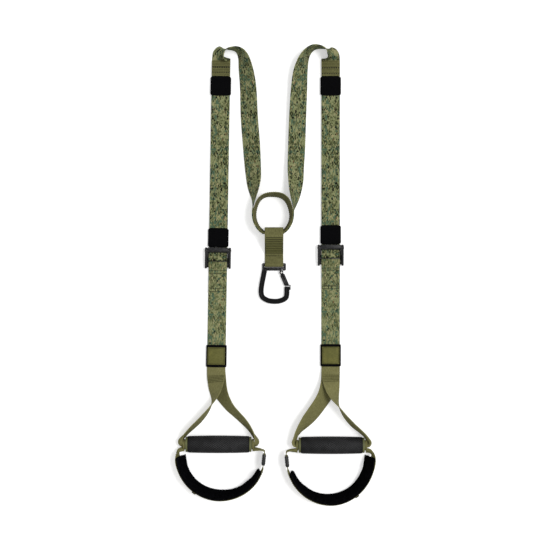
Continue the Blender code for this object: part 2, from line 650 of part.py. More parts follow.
def buckle_frame(name, root):
    inner = WEB_WIDTH / 2 + CHEEK_ROOM
    outer = inner + CHEEK_THICKNESS
    cam_z, corner = cam_height(), CHEEK_HEIGHT / 3
    outline = arc((-corner, CHEEK_HEIGHT - corner), corner, 0, FLAT, 4)
    outline += [(-BUCKLE_LENGTH * 0.5, CHEEK_HEIGHT)]
    outline += arc((-BUCKLE_LENGTH + corner, CHEEK_HEIGHT * 0.82 - corner), corner, FLAT, 2 * FLAT, 4)
    outline += arc((-BUCKLE_LENGTH + corner, corner), corner, 2 * FLAT, 3 * FLAT, 4)
    outline += arc((-corner, corner), corner, 3 * FLAT, 4 * FLAT, 4)
    frame = rod(name + "_buckle_frame", (-outer + OVERRUN / 4, -TURN_BAR_DROP, turn_bar_height()),
                (outer - OVERRUN / 4, -TURN_BAR_DROP, turn_bar_height()), TURN_BAR_RADIUS, parent=root)
    join = [rod("bar", (-outer + OVERRUN / 4, -LOWER_BAR_DROP, lower_bar_height()),
                (outer - OVERRUN / 4, -LOWER_BAR_DROP, lower_bar_height()), LOWER_BAR_RADIUS, parent=root)]
    anvil_top = LOW_LEVEL - WEB_THICKNESS / 2 - GAP
    join.append(box("anvil", (-inner - OVERRUN / 2, -CAM_DROP - ANVIL_LENGTH / 2, 0),
                    (inner + OVERRUN / 2, -CAM_DROP + ANVIL_LENGTH / 2, anvil_top), parent=root))
    for side in (-1, 1):
        cheek = plate("cheek", outline, CHEEK_THICKNESS, None, root, (side * (inner + outer) / 2, 0, 0),
                      (FLAT, 0, FLAT))
        join.append(meshed(cheek))
    frame = combine(frame, join, "UNION")
    spring_y, spring_z = -CAM_DROP - SPRING_LEG, cam_z
    cuts = [rod("pin_hole", (-outer - OVERRUN, -CAM_DROP, cam_z), (outer + OVERRUN, -CAM_DROP, cam_z),
                CAM_PIN_RADIUS + PIN_CLEARANCE, parent=root),
            rod("leg_hole", (inner - OVERRUN, spring_y, spring_z), (outer + OVERRUN, spring_y, spring_z),
                SPRING_WIRE, parent=root, sides=12)]
    dress(combine(frame, cuts, "DIFFERENCE"), BLACK_METAL)


def cam_lever(name, root):
    """Toothed cam and thumb lip between two flanges, on the pin between the cheeks."""
    axis = empty(name + "_cam_axis", (0, -CAM_DROP, cam_height()), parent=root)
    inner = WEB_WIDTH / 2 + CHEEK_ROOM - GAP
    outline = []
    for k in range(CAM_TEETH * 2 + 1):
        angle = 3 * FLAT - FLAT * 0.6 + FLAT * 0.9 * k / (CAM_TEETH * 2)
        radius = CAM_RADIUS + (CAM_TOOTH if k % 2 else 0)
        outline.append((radius * math.cos(angle), radius * math.sin(angle)))
    lip_low = CAM_RADIUS - LIP_THICKNESS
    lip_middle = (LIP_REACH - LIP_THICKNESS / 2, lip_low + LIP_THICKNESS / 2)
    outline += [(CAM_RADIUS * 0.9, lip_low)]
    outline += arc(lip_middle, LIP_THICKNESS / 2, -FLAT, FLAT, 7)
    outline += arc((0, 0), CAM_RADIUS, FLAT, 3 * FLAT - FLAT * 0.72, 8)
    spring_room = SPRING_TURNS * SPRING_PITCH + SPRING_WIRE * 2
    drum_high = inner - FLANGE_THICKNESS - spring_room
    drum_low = FLANGE_THICKNESS / 2 - inner
    lever = meshed(plate(name + "_cam_lever", outline, drum_high - drum_low, None, axis,
                         ((drum_high + drum_low) / 2, 0, 0), (FLAT, 0, FLAT)))
    lip = [(0, CAM_RADIUS - LIP_THICKNESS * 0.2)]
    lip += arc(lip_middle, LIP_THICKNESS * 0.46, -FLAT * 0.6, FLAT, 6)
    lip += [(0, CAM_RADIUS * 0.96)]
    lip_width = spring_room + FLANGE_THICKNESS + OVERRUN / 2
    lip_at = (inner - lip_width / 2, 0, 0)
    join = [meshed(plate("lip", lip, lip_width, None, axis, lip_at, (FLAT, 0, FLAT)))]
    flange = arc((0, 0), CAM_RADIUS * 0.98, 0, FLAT, 4) + [(-FLANGE_LENGTH * 0.5, CAM_RADIUS * 0.92)]
    flange_end = (CAM_DROP - FLANGE_LENGTH + CAM_RADIUS / 2, CAM_RADIUS / 3)
    flange += arc(flange_end, CAM_RADIUS / 2, FLAT, 3 * FLAT, 5)
    flange += [(0, -CAM_RADIUS * 0.6)]
    for side in (-1, 1):
        join.append(meshed(plate("flange", flange, FLANGE_THICKNESS, None, axis,
                                 (side * (inner - FLANGE_THICKNESS / 2), 0, 0), (FLAT, 0, FLAT))))
    lever = combine(lever, join, "UNION")
    cuts = [rod("bore", (-inner - OVERRUN, 0, 0), (inner + OVERRUN, 0, 0), CAM_PIN_RADIUS + PIN_CLEARANCE,
                parent=axis)]
    slot_near, slot_low = -SPRING_LEG * math.cos(CAM_TURN), -SPRING_LEG * math.sin(CAM_TURN)
    cuts.append(box("leg_slot", (inner - FLANGE_THICKNESS - OVERRUN, -SPRING_LEG - SPRING_WIRE,
                                 slot_low - SPRING_WIRE * 2),
                    (inner + OVERRUN, slot_near + SPRING_WIRE, SPRING_WIRE), parent=axis))
    dress(combine(lever, cuts, "DIFFERENCE"), BLACK_METAL)
    return inner - FLANGE_THICKNESS - spring_room


def cam_pin_and_spring(name, root, spring_x):
    outer = WEB_WIDTH / 2 + CHEEK_ROOM + CHEEK_THICKNESS
    rod(name + "_cam_pin", (-outer, -CAM_DROP, cam_height()), (outer, -CAM_DROP, cam_height()),
        CAM_PIN_RADIUS, BRIGHT_METAL, root)
    coil = helix(SPRING_RADIUS, SPRING_TURNS, SPRING_PITCH)
    last = coil[-1]
    start = spring_x + SPRING_WIRE
    points = [(start + x, y - CAM_DROP, z + cam_height(), 0, 1) for x, y, z, _, _ in coil]
    end_x = start + last[0]
    points += [(end_x, -CAM_DROP - SPRING_LEG + SPRING_WIRE / 2, cam_height(), 0, 1),
               (end_x + SPRING_WIRE / 2, -CAM_DROP - SPRING_LEG, cam_height(), 0, 1),
               (outer - CHEEK_THICKNESS / 2, -CAM_DROP - SPRING_LEG, cam_height(), 0, 1)]
    wire(name + "_cam_spring", points, SPRING_WIRE, BRIGHT_METAL, root)


def lower_strap(name, arm, root):
    """Patterned webbing folded round the buckle's lower bar and sewn back on itself."""
    radius = LOWER_BAR_RADIUS + GAP + WEB_THICKNESS / 2
    bar = (-LOWER_BAR_DROP, lower_bar_height())
    turn = arc(bar, radius, FLAT + STRAP_SLOPE, -FLAT, 10)
    along, up = turn[0]
    level = along - (up - HIGH_LEVEL) / math.tan(STRAP_SLOPE)
    end = -arm["lower"] - LABEL_LENGTH * 0.4
    path = [(-SEWN_LENGTH, HIGH_LEVEL), (level, HIGH_LEVEL)] + turn + [(end, LOW_LEVEL)]
    across_band(name + "_lower_strap", path, WEB_WIDTH, WEB_THICKNESS, CAMO, root)


def label(name, arm, root):
    top = sleeve(name + "_label_sleeve", LABEL_LENGTH, -arm["lower"], root)
    half, bottom = PATCH_SIDE / 2, top + GAP
    middle = -arm["lower"] - LABEL_LENGTH / 2
    box(name + "_label_patch", (-half, middle - half, bottom),
        (half, middle + half, bottom + PATCH_THICKNESS), OLIVE, root)


def handle_place(arm):
    """World place of the middle of the grip's axis."""
    x, y = arm_point(arm, -arm["shift"], -arm["lower"] - arm["drop"])
    return (x, y, GRIP_AXIS_HEIGHT)


def cap_reach():
    return GRIP_LENGTH / 2 + GAP + CAP_THICKNESS


def eye_middle():
    return cap_reach() + GAP + EYE_WIDTH / 2


def handle_strap(name, arm, hub):
    """One strap: out of the label, down to the grip's outer end, through the grip and back up."""
    side = arm["side"]
    gx, gy, gz = handle_place(arm)
    span = eye_middle() + EYE_WIDTH / 2 + HANDLE_TURN
    fall = arm["drop"] - LABEL_LENGTH
    cos, sin = math.cos(arm["tilt"]), math.sin(arm["tilt"])

    def in_label(share, level, tilt):
        x, y = arm_point(arm, 0, -arm["lower"] - LABEL_LENGTH * share)
        return ((x - gx) * side, y - gy, level - gz, tilt, 1)

    def leg(rows, over):
        out = []
        for out_share, up_share, lean_share, bunch in rows:
            tilt = lean_share * FLAT
            width = WEB_WIDTH * bunch
            rest = edge_height(tilt, width, WEB_THICKNESS * bunch)
            lift = LIFT + over * min(1.0, max(0.0, (up_share - OVERLAP_SHARE) / (1 - OVERLAP_SHARE) * 2))
            free = lift + rest - gz
            z = free * min(1.0, (bunch - BUNCHED_SHARE) / (1 - BUNCHED_SHARE))
            out.append((out_share * span, up_share * fall, z, tilt, bunch))
        return out

    stations = [in_label(share, HIGH_LEVEL, FLAT) for share in LABEL_SHARES]
    stations += leg(FRONT_LEG_SHARES[name], LAYER + GAP * 2)
    bunched = BUNCHED_SHARE
    turn = HANDLE_TURN
    inside = eye_middle() + EYE_WIDTH / 2
    corner = [(inside + turn, turn * 1.2), (inside + turn * 0.6, turn * 0.25), (inside - turn * 0.4, 0)]
    stations += [(x, y, 0, 0, bunched) for x, y in corner]
    stations += [(share * GRIP_LENGTH / 2, 0, 0, 0, bunched) for share in (0.8, 0.3, -0.3, -0.8)]
    stations += [(-x, y, 0, 0, bunched) for x, y in reversed(corner)]
    stations += leg(BACK_LEG_SHARES[name], 0.0)
    stations += [in_label(share, LOW_LEVEL, -FLAT) for share in reversed(LABEL_SHARES)]
    points = [(x * side, y, z, tilt * side, bunch) for x, y, z, tilt, bunch in smooth(stations)]
    ribbon(name + "_handle_strap", points, WEB_WIDTH, WEB_THICKNESS, OLIVE, hub)


def grip(name, hub):
    half, steps = GRIP_LENGTH / 2, 8
    inner = TUBE_RADIUS + GAP
    sleeve_profile = [(half, inner), (-half, inner)]
    for k in range(steps + 1):
        along = -1 + 2 * k / steps
        sleeve_profile.append((half * along, GRIP_END_RADIUS + GRIP_SWELL * (1 - along * along)))
    turned_along_x(name + "_grip_sleeve", sleeve_profile, RUBBER, hub)
    tube_half = cap_reach() - CAP_THICKNESS / 2
    tube_profile = [(tube_half, TUBE_BORE), (-tube_half, TUBE_BORE), (-tube_half, TUBE_RADIUS),
                    (tube_half, TUBE_RADIUS)]
    turned_along_x(name + "_grip_tube", tube_profile, DARK_PLASTIC, hub)
    edge = CAP_THICKNESS / 4
    start, end = half + GAP, cap_reach()
    seat = tube_half + GAP
    bore = WEB_WIDTH * BUNCHED_SHARE / 2 + RUN_CLEARANCE
    profile = [(start, inner), (seat, inner), (seat, bore), (end, bore), (end, CAP_RADIUS - edge),
               (end - edge, CAP_RADIUS), (start, CAP_RADIUS)]
    for end_name, side in (("outer", 1), ("inner", -1)):
        placed = [(side * x * ARMS[name]["side"], r) for x, r in profile]
        turned_along_x(f"{name}_grip_cap_{end_name}", placed, OLIVE_PLASTIC, hub)


def foot_arc(name, arm, share, out=0.0):
    """A point of the cradle's arc under the grip, from its outer end to its inner end, and its lean."""
    angle = FOOT_START + (FOOT_END - FOOT_START) * share
    first, middle, last = LEAN_SHARES[name]
    if share < 0.5:
        lean = first + (middle - first) * share * 2
    else:
        lean = middle + (last - middle) * (share * 2 - 1)
    tilt = lean * FLAT
    reach = out / math.cos(tilt)
    x = -arm["foot_shift"] + (eye_middle() + FOOT_FLARE + reach) * math.cos(angle)
    y = -arm["foot_back"] + (arm["foot_drop"] + reach) * math.sin(angle)
    return (x, y, tilt)


def pad_rise(name):
    """Height of the cradle's middle line over the grip's axis, with the pad's lower edge on the table."""
    return edge_height(LEAN_SHARES[name][1] * FLAT, PAD_WIDTH, PAD_THICKNESS) + GAP - GRIP_AXIS_HEIGHT


def strap_out():
    """From the pad's middle line out to the foot strap's."""
    return PAD_THICKNESS / 2 + GAP * 3 + WEB_THICKNESS / 2


def straight_run(name, arm, share):
    """A point of the strap's straight run at the inner side, where the slider sits, from its lower end."""
    x, y, _ = foot_arc(name, arm, 1.0, strap_out())
    along = STRAIGHT_START + STRAIGHT_RUN * share
    return (x - along * math.sin(STRAIGHT_LEAN), y + along * math.cos(STRAIGHT_LEAN))


def foot_pad(name, arm, hub):
    side = arm["side"]
    shares = [PAD_START_SHARE] + [k / (FOOT_STATIONS - 1) for k in range(1, FOOT_STATIONS)]
    rows = [foot_arc(name, arm, share) for share in shares]
    stations = [(x * side, y, pad_rise(name), -tilt * side, 1) for x, y, tilt in rows]
    profile = pad_profile(name)
    pad = curve_object(name + "_foot_pad", smooth(stations), False, dimensions="3D", twist_mode="Z_UP",
                       fill_mode="FULL", use_fill_caps=True, bevel_mode="OBJECT", bevel_object=profile)
    dress(meshed(place(pad, None, hub)), PLUSH)
    bpy.data.objects.remove(profile, do_unlink=True)


def foot_strap(name, arm, hub):
    """Webbing along the pad's outer face, each end an eye round the bunched handle strap."""
    side, eye = arm["side"], eye_middle()
    low = -EYE_BORE - WEB_THICKNESS / 2 - GAP / 2
    stations = [(eye, low, 0, 0, 1), (eye + EYE_BORE * 0.5, low * 1.02, 0, 0, 1),
                (eye + EYE_BORE * 1.3, low * 1.4, 0, 0, 1)]
    for k in range(FOOT_STATIONS):
        x, y, tilt = foot_arc(name, arm, k / (FOOT_STATIONS - 1), strap_out())
        stations.append((x, y, pad_rise(name), -tilt, 1))
    stations += [(*straight_run(name, arm, share), pad_rise(name), 0, 1) for share in (0, 0.08, 0.92, 1)]
    head_x, head_y = straight_run(name, arm, 1)
    stations += [(head_x + (-eye - head_x) * out_share, head_y + (low - head_y) * up_share,
                  pad_rise(name) * (1 - out_share), 0, 1) for out_share, up_share in HEAD_SHARES]
    points = [(x * side, y, z, tilt * side, bunch) for x, y, z, tilt, bunch in smooth(stations)]
    strap = meshed(ribbon(name + "_foot_strap", points, FOOT_WEB, WEB_THICKNESS, None, hub))
    rings = []
    for end in (-1, 1):
        path = arc((0, 0), EYE_BORE + WEB_THICKNESS / 2, 0, math.tau * 15 / 16, 16)
        ring = across_band("eye", path, EYE_WIDTH, WEB_THICKNESS, None, hub, True, (end * eye, 0, 0))
        rings.append(meshed(ring))
    dress(combine(strap, rings, "UNION"), OLIVE)


def foot_slider(name, arm, hub):
    """The slide adjuster on the strap's straight run, and the small keeper sewn to its outer side."""
    side = arm["side"]
    x, y = straight_run(name, arm, 0.5)
    ring_band(name + "_foot_slider", WEB_THICKNESS + GAP * 2, FOOT_WEB + GAP * 2, SLIDER_LENGTH,
              SLIDER_WALL, DARK_PLASTIC, hub, (x * side, y, pad_rise(name)), STRAIGHT_LEAN * side)
    out = strap_out() + WEB_THICKNESS / 2 + GAP * 2 + FOOT_KEEPER_THICKNESS / 2
    x, y, tilt = foot_arc(name, arm, FOOT_KEEPER_SHARE, out)
    near, far = (foot_arc(name, arm, FOOT_KEEPER_SHARE + step, out) for step in (-0.01, 0.01))
    along = Vector(((far[0] - near[0]) * side, far[1] - near[1], 0)).normalized()
    outwards = Vector((x * side + arm["foot_shift"] * side, y + arm["foot_back"], 0)).normalized()
    leaning = (outwards - along * outwards.dot(along)) * math.sin(tilt)
    upright = (leaning + Vector((0, 0, math.cos(tilt)))).normalized()
    turn = Matrix((along, upright.cross(along), upright)).transposed()
    half = Vector((FOOT_KEEPER_LENGTH, FOOT_KEEPER_THICKNESS, FOOT_WEB * 0.9)) / 2
    box(name + "_foot_keeper", -half, half, ELASTIC, hub, (x * side, y, pad_rise(name)), turn.to_euler())


def pad_profile(name):
    """Cross-section of the padded band: crowned on the foot's side, drawn in at its edges."""
    half_w, half_t = PAD_WIDTH / 2, PAD_THICKNESS / 2
    edge = half_t * PAD_EDGE_SHARE
    outline = [(-half_t, -half_w * 0.5), (-half_t * 0.95, 0), (-half_t, half_w * 0.5),
               (-half_t * 0.8, half_w * 0.85), (-edge * 0.4, half_w), (edge, half_w * 0.93),
               (half_t * 0.86, half_w * 0.6), (half_t, 0), (half_t * 0.86, -half_w * 0.6),
               (edge, -half_w * 0.93), (-edge * 0.4, -half_w), (-half_t * 0.8, -half_w * 0.85)]
    made = curve_object(name + "_pad_profile", [(x, y, 0, 0, 1) for x, y in outline], True, dimensions="2D")
    PIECES.objects.link(made)
    return made


def build_arm(name, arm):
    root = empty(name + "_arm", (arm["x"], arm["y"], 0), (0, 0, arm["tilt"]))
    main_strap(name, arm)
    adjust_tab(name, arm, root)
    sleeve(name + "_upper_keeper", KEEPER_LENGTH, arm["run"] - TAB_LENGTH - GAP * 2, root)
    strap_runs(name, arm, root)
    sleeve(name + "_lower_keeper", KEEPER_LENGTH, KEEPER_LENGTH + GAP, root)
    buckle_frame(name, root)
    spring_x = cam_lever(name, root)
    cam_pin_and_spring(name, root, spring_x)
    lower_strap(name, arm, root)
    label(name, arm, root)
    hub = empty(name + "_handle", handle_place(arm))
    handle_strap(name, arm, hub)
    grip(name, hub)
    foot_pad(name, arm, hub)
    foot_strap(name, arm, hub)
    foot_slider(name, arm, hub)


clear_scene()
PIECES = collection("suspension_trainer")
OLIVE = material("olive webbing", (0.17, 0.18, 0.10), 0.85)
CAMO = material("patterned webbing", (0.13, 0.16, 0.11), 0.85)
ELASTIC = material("black elastic", (0.01, 0.01, 0.011), 0.9)
BLACK_METAL = material("black coated metal", (0.015, 0.015, 0.016), 0.4, 0.6)
GATE_METAL = material("black anodised gate", (0.03, 0.03, 0.032), 0.35, 0.8)
BRIGHT_METAL = material("bright steel", (0.6, 0.6, 0.6), 0.3, 1.0)
RUBBER = material("black rubber", (0.012, 0.012, 0.012), 0.6)
DARK_PLASTIC = material("dark plastic", (0.02, 0.02, 0.02), 0.45)
OLIVE_PLASTIC = material("olive plastic", (0.16, 0.17, 0.09), 0.55)
PLUSH = material("black pile", (0.006, 0.006, 0.006), 1.0)
equalizer_loop()
anchor_loop()
carabiner()
for arm_name, arm_sizes in ARMS.items():
    build_arm(arm_name, arm_sizes)
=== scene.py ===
"""Finish of a suspension trainer: webbing, stitches, buckles, grips, foot cradles and carabiner."""

import math

import bmesh
import bpy
from bpy.props import FloatProperty, FloatVectorProperty, IntProperty, PointerProperty
from mathutils import Euler, Matrix, Vector


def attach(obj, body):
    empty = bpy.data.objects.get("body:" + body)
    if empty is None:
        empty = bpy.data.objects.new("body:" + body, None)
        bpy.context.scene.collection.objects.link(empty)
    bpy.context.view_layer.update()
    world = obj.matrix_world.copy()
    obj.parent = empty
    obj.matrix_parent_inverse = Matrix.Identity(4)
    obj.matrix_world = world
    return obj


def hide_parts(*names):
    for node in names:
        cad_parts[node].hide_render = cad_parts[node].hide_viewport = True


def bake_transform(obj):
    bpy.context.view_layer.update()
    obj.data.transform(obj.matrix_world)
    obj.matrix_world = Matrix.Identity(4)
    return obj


bl_info = {
    "name": "Suspension Trainer Finish",
    "version": (1, 0, 0),
    "blender": (4, 5, 0),
    "location": "3D View > Sidebar > Trainer",
    "description": "Webbing, stitching, buckles, grips, foot cradles and carabiner of a suspension trainer",
    "category": "Object",
}

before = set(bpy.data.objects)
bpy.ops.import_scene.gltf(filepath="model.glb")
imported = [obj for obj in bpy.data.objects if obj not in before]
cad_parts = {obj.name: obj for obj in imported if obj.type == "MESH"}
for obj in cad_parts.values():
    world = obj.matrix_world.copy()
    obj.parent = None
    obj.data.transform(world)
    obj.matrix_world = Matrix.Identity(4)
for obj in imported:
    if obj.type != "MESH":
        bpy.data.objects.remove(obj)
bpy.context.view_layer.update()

MM = 0.001
FLAT = math.radians(90)
UPRIGHT = Euler((FLAT, 0, FLAT)).to_matrix().to_4x4()
SMOOTH_UNDER = math.radians(40)

# Webbing and the room between touching pieces, as the frame has them
WEB_WIDTH = 38 * MM
WEB_THICKNESS = 1.8 * MM
GAP = 0.3 * MM
RUN_CLEARANCE = 0.5 * MM
LAYER = WEB_THICKNESS + GAP
LIFT = LAYER
LOW_LEVEL = LIFT + WEB_THICKNESS / 2
HIGH_LEVEL = LOW_LEVEL + LAYER
TWIST_STEP = math.radians(2)
SMOOTH_STEPS = 6
ROW_STEP = 6 * MM
FLATS = 6
GATHERED_FLATS = 12
SELVEDGE_FACES = 3
ELASTIC_RIB = 2.2 * MM

# Equalizer ring and anchor loop
RING_X = -5.2 * MM
RING_Y = 123 * MM
RING_HALF_WIDTH = 37.5 * MM
RING_HALF_HEIGHT = 42 * MM
RING_LEAN = math.radians(7)
RING_POINTS = 120
ANCHOR_EYE_GAP = 3 * MM
ANCHOR_STITCH_SHARE = 0.3
RING_SIDE_LEAN = 0.8
RING_SIDE = math.radians(50)
RING_SLACK = 1.6 * MM
RING_WAVES = 4
# Sewn block on the anchor loop, from the end of its upper layer
ANCHOR_BLOCK = (7 * MM, 60 * MM)
SEWN_LAYER = 0.7 * MM
SEWN_LAYER_SHARE = 0.9
TACKS = 9
TACK_STEP = 5.6 * MM
TACK_START = WEB_WIDTH / 4 + 1 * MM
TACK_LIFT = 0.4 * MM

# Carabiner
CARABINER_X = -3 * MM
CARABINER_Y = 20 * MM
CARABINER_HEIGHT = 84 * MM
CARABINER_WIDTH = 64 * MM
STOCK_RADIUS = 5.4 * MM
EYE_BAR_RADIUS = 3 * MM
EYE_SIDE = 5 * MM
EYE_DEPTH = 7.4 * MM
CROSSBAR = 7 * MM
GATE_RADIUS = 4.4 * MM
RIVET_RADIUS = 1.2 * MM
RIVET_HEAD = 1.8 * MM
NOSE = 2.2 * MM
GATE_FLESH = 4.9 * MM
CLEVIS_THICKNESS = 1.5 * MM
CLEVIS_RADIUS = 3.9 * MM
KNUCKLE_RADIUS = 3.5 * MM
HINGE_ROUNDING = 0.3 * MM

# Arms: distances down each arm from the top of its buckle
KEEPER_LENGTH = 40 * MM
KEEPER_TUCK_SHARE = 0.16
LABEL_TUCK_SHARE = 0.05
BAND_CORNER_SHARE = 0.16
KEEPER_RIB = 0.42 * MM
KEEPER_RIB_STEP = 2.5 * MM
TAB_LENGTH = 31 * MM
TAB_UNDERLAP = 14 * MM
BEND_LAP = 12 * MM
BUCKLE_LENGTH = 43.5 * MM
SEWN_LENGTH = 93 * MM
LABEL_LENGTH = 46 * MM
PATCH_SIDE = 35.4 * MM
PATCH_THICKNESS = 1 * MM
PATCH_ROUNDING = 0.45 * MM
PATCH_SEAM_INSET = 1.7 * MM
PATCH_PITCH = 2.2 * MM

# Cam buckle
CHEEK_THICKNESS = 3 * MM
CHEEK_HEIGHT = 14.6 * MM
CHEEK_ROOM = 3.6 * MM
CHEEK_SWELL = 1 * MM
BRIDGE = 7 * MM
TURN_BAR_RADIUS = 2 * MM
LOWER_BAR_RADIUS = 2.5 * MM
TURN_BAR_DROP = 23 * MM
LOWER_BAR_DROP = 33.4 * MM
ANVIL_LENGTH = 11 * MM
CAM_DROP = 6.4 * MM
CAM_RADIUS = 4.2 * MM
CAM_TOOTH = 0.5 * MM
CAM_TEETH = 5
LIP_REACH = 6.3 * MM
LIP_THICKNESS = 3.4 * MM
FLANGE_THICKNESS = 2.2 * MM
FLANGE_LENGTH = 22 * MM
FRAME_LAP = 1 * MM
PIN_HEAD = 2.6 * MM
PIN_HEAD_REACH = 0.7 * MM
PIN_HEAD_ROUNDING = 0.5 * MM
STRAP_SLOPE = math.radians(25)

# Handle and grip
GRIP_LENGTH = 126 * MM
GRIP_END_RADIUS = 16.6 * MM
GRIP_SWELL = 1 * MM
GRIP_ROUNDING = 0.8 * MM
GRIP_STEPS = 32
LATTICE_MARGIN = 2.5 * MM
RING_GROOVE = 0.4 * MM
TUBE_RADIUS = 14 * MM
CAP_THICKNESS = 4 * MM
CAP_RADIUS = 15.6 * MM
BUNCHED_SHARE = 0.42
EYE_WIDTH = 5 * MM
EYE_BORE = 9 * MM
HANDLE_TURN = 5 * MM
GATHER = 13 * MM

# Foot cradle
FOOT_WEB = 25 * MM
PAD_WIDTH = 42 * MM
PAD_THICKNESS = 7.4 * MM
PAD_EDGE_SHARE = 0.45
# The cloth starts thinner than the pad that it swells to
PAD_START_THICKNESS_SHARE = 0.86
PAD_BINDING = 1.1 * MM
CLOTH_FRAMES = 20
CLOTH_QUALITY = 4
TUFT_WIDTH_SHARE = 0.3
PILE_SEEDS = {"left": 3, "right": 7}
FOOT_FLARE = 12.9 * MM
SLIDER_LENGTH = 22 * MM
SLIDER_WALL = 2.4 * MM
SLIDER_RIB = 0.8 * MM
SLIDER_RIB_EDGE = 0.3 * MM
FOOT_KEEPER_LENGTH = 9 * MM
FOOT_KEEPER_THICKNESS = 1.6 * MM
FOOT_KEEPER_SHARE = 0.32
FOOT_KEEPER_RIB = 0.45 * MM
FOOT_KEEPER_RIB_EDGE = 0.2 * MM
STRAIGHT_RUN = 31 * MM
STRAIGHT_START = 3 * MM
STRAIGHT_LEAN = math.radians(6)
FOOT_START = math.radians(-2)
FOOT_END = math.radians(-163)
FOOT_STATIONS = 9
FOOT_SEAM_STEPS = 60
PAD_START_SHARE = -0.015
PAD_END_SHARE = 0.975
HEAD_SHARES = ((0.03, 0.4), (0.13, 0.72), (0.3, 0.9), (0.5, 0.98), (1.0, 1.0))

GRIP_AXIS_HEIGHT = GRIP_END_RADIUS + GRIP_SWELL

# Sewing on each arm: rows down from the buckle's top, and down from the tab's fold
SEWING = {
    "left": dict(first_row=47.6 * MM, box_top=53.4 * MM, box_low=84 * MM, last_rows=(90.4 * MM,),
                 tab_rows=(12.4 * MM, 13.6 * MM), tab_seam=23.7 * MM),
    "right": dict(first_row=48.2 * MM, box_top=52.4 * MM, box_low=83.4 * MM, last_rows=(85.6 * MM, 90.2 * MM),
                  tab_rows=(14.2 * MM, 15.4 * MM), tab_seam=26.6 * MM),
}
BOX_INSET = 5.6 * MM
EDGE_INSET = 2.4 * MM
THREAD_LIFT = 0.1 * MM
STITCH_SHARE = 0.84
BOX_PITCH = 3 * MM
TAB_RIBS = 9
TAB_RIB = 0.7 * MM
TAB_RIB_START = 2 * MM
TAB_RIB_STEP = 3.2 * MM
TAB_RIB_SINK = 0.45 * MM
HANDLE_TACKS = 5
HANDLE_TACK_START = 13 * MM
HANDLE_TACK_STEP = 3.2 * MM
FINE_PITCH = 2.4 * MM

# One row a side: where the buckle's top lies, how the arm leans and the lengths that differ in the lay
ARMS = {
    "left": dict(side=-1, x=-118 * MM, y=55 * MM, tilt=math.radians(-0.93), run=384 * MM, lower=200 * MM,
                 drop=203 * MM, shift=8 * MM, bend_rise=29 * MM, foot_drop=80 * MM, foot_back=24 * MM,
                 foot_shift=6 * MM),
    "right": dict(side=1, x=113.4 * MM, y=61 * MM, tilt=0.0, run=378 * MM, lower=204.5 * MM,
                  drop=206.5 * MM, shift=-1.5 * MM, bend_rise=27 * MM, foot_drop=88 * MM, foot_back=23 * MM,
                  foot_shift=5 * MM),
}

# Inner strand and top bend: share of the way out from the ring to the arm, share of the way up to the
# bend's top, and the lean from upright in shares of a right angle, out being positive
STRAND_SHARES = {
    "left": [(0.385, 0.04, 0.0), (0.371, 0.089, 0.12), (0.366, 0.13, 0.3), (0.37, 0.18, 0.5),
             (0.374, 0.22, 0.6), (0.389, 0.286, 0.68), (0.412, 0.396, 0.76), (0.457, 0.58, 0.76),
             (0.482, 0.764, 0.68), (0.526, 0.868, 0.55), (0.566, 0.93, 0.38), (0.625, 0.963, 0.24),
             (0.7, 0.979, 0.11), (0.775, 0.983, 0.03), (0.838, 0.983, -0.02), (0.885, 0.981, -0.07),
             (0.926, 0.976, -0.14), (0.958, 0.968, -0.25), (0.981, 0.959, -0.42), (0.995, 0.95, -0.65),
             (1.0, 0.94, -0.9)],
    "right": [(0.362, 0.036, 0.05), (0.374, 0.087, 0.26), (0.383, 0.136, 0.44), (0.395, 0.207, 0.62),
              (0.395, 0.28, 0.7), (0.409, 0.388, 0.76), (0.426, 0.568, 0.76), (0.452, 0.748, 0.69),
              (0.478, 0.856, 0.55), (0.53, 0.928, 0.36), (0.6, 0.97, 0.22), (0.7, 0.996, 0.11),
              (0.795, 0.999, 0.03), (0.865, 0.995, -0.02), (0.905, 0.99, -0.07), (0.94, 0.983, -0.14),
              (0.965, 0.973, -0.25), (0.984, 0.963, -0.42), (0.996, 0.951, -0.65), (1.0, 0.94, -0.9)],
}

# Handle strap: share of the grip's half span outwards, share of the drop from the label, lean and bunching
FRONT_LEG_SHARES = {
    "left": [(0.071, 0.925, 0.96, 1.0), (0.072, 0.88, 0.87, 1.0), (0.074, 0.84, 0.76, 1.0),
             (0.08, 0.75, 0.58, 1.0), (0.105, 0.65, 0.32, 1.0), (0.17, 0.54, 0.04, 1.0),
             (0.3, 0.43, -0.1, 1.0), (0.5, 0.31, -0.16, 1.0), (0.73, 0.2, -0.15, 0.95),
             (0.9, 0.115, -0.1, 0.75)],
    "right": [(-0.02, 0.925, 0.96, 1.0), (-0.018, 0.88, 0.87, 1.0), (-0.008, 0.82, 0.76, 1.0),
              (0.022, 0.72, 0.56, 1.0), (0.085, 0.61, 0.3, 1.0), (0.19, 0.5, 0.02, 1.0),
              (0.36, 0.37, -0.12, 1.0), (0.55, 0.265, -0.16, 1.0), (0.75, 0.175, -0.15, 0.9),
              (0.9, 0.105, -0.1, 0.72)],
}
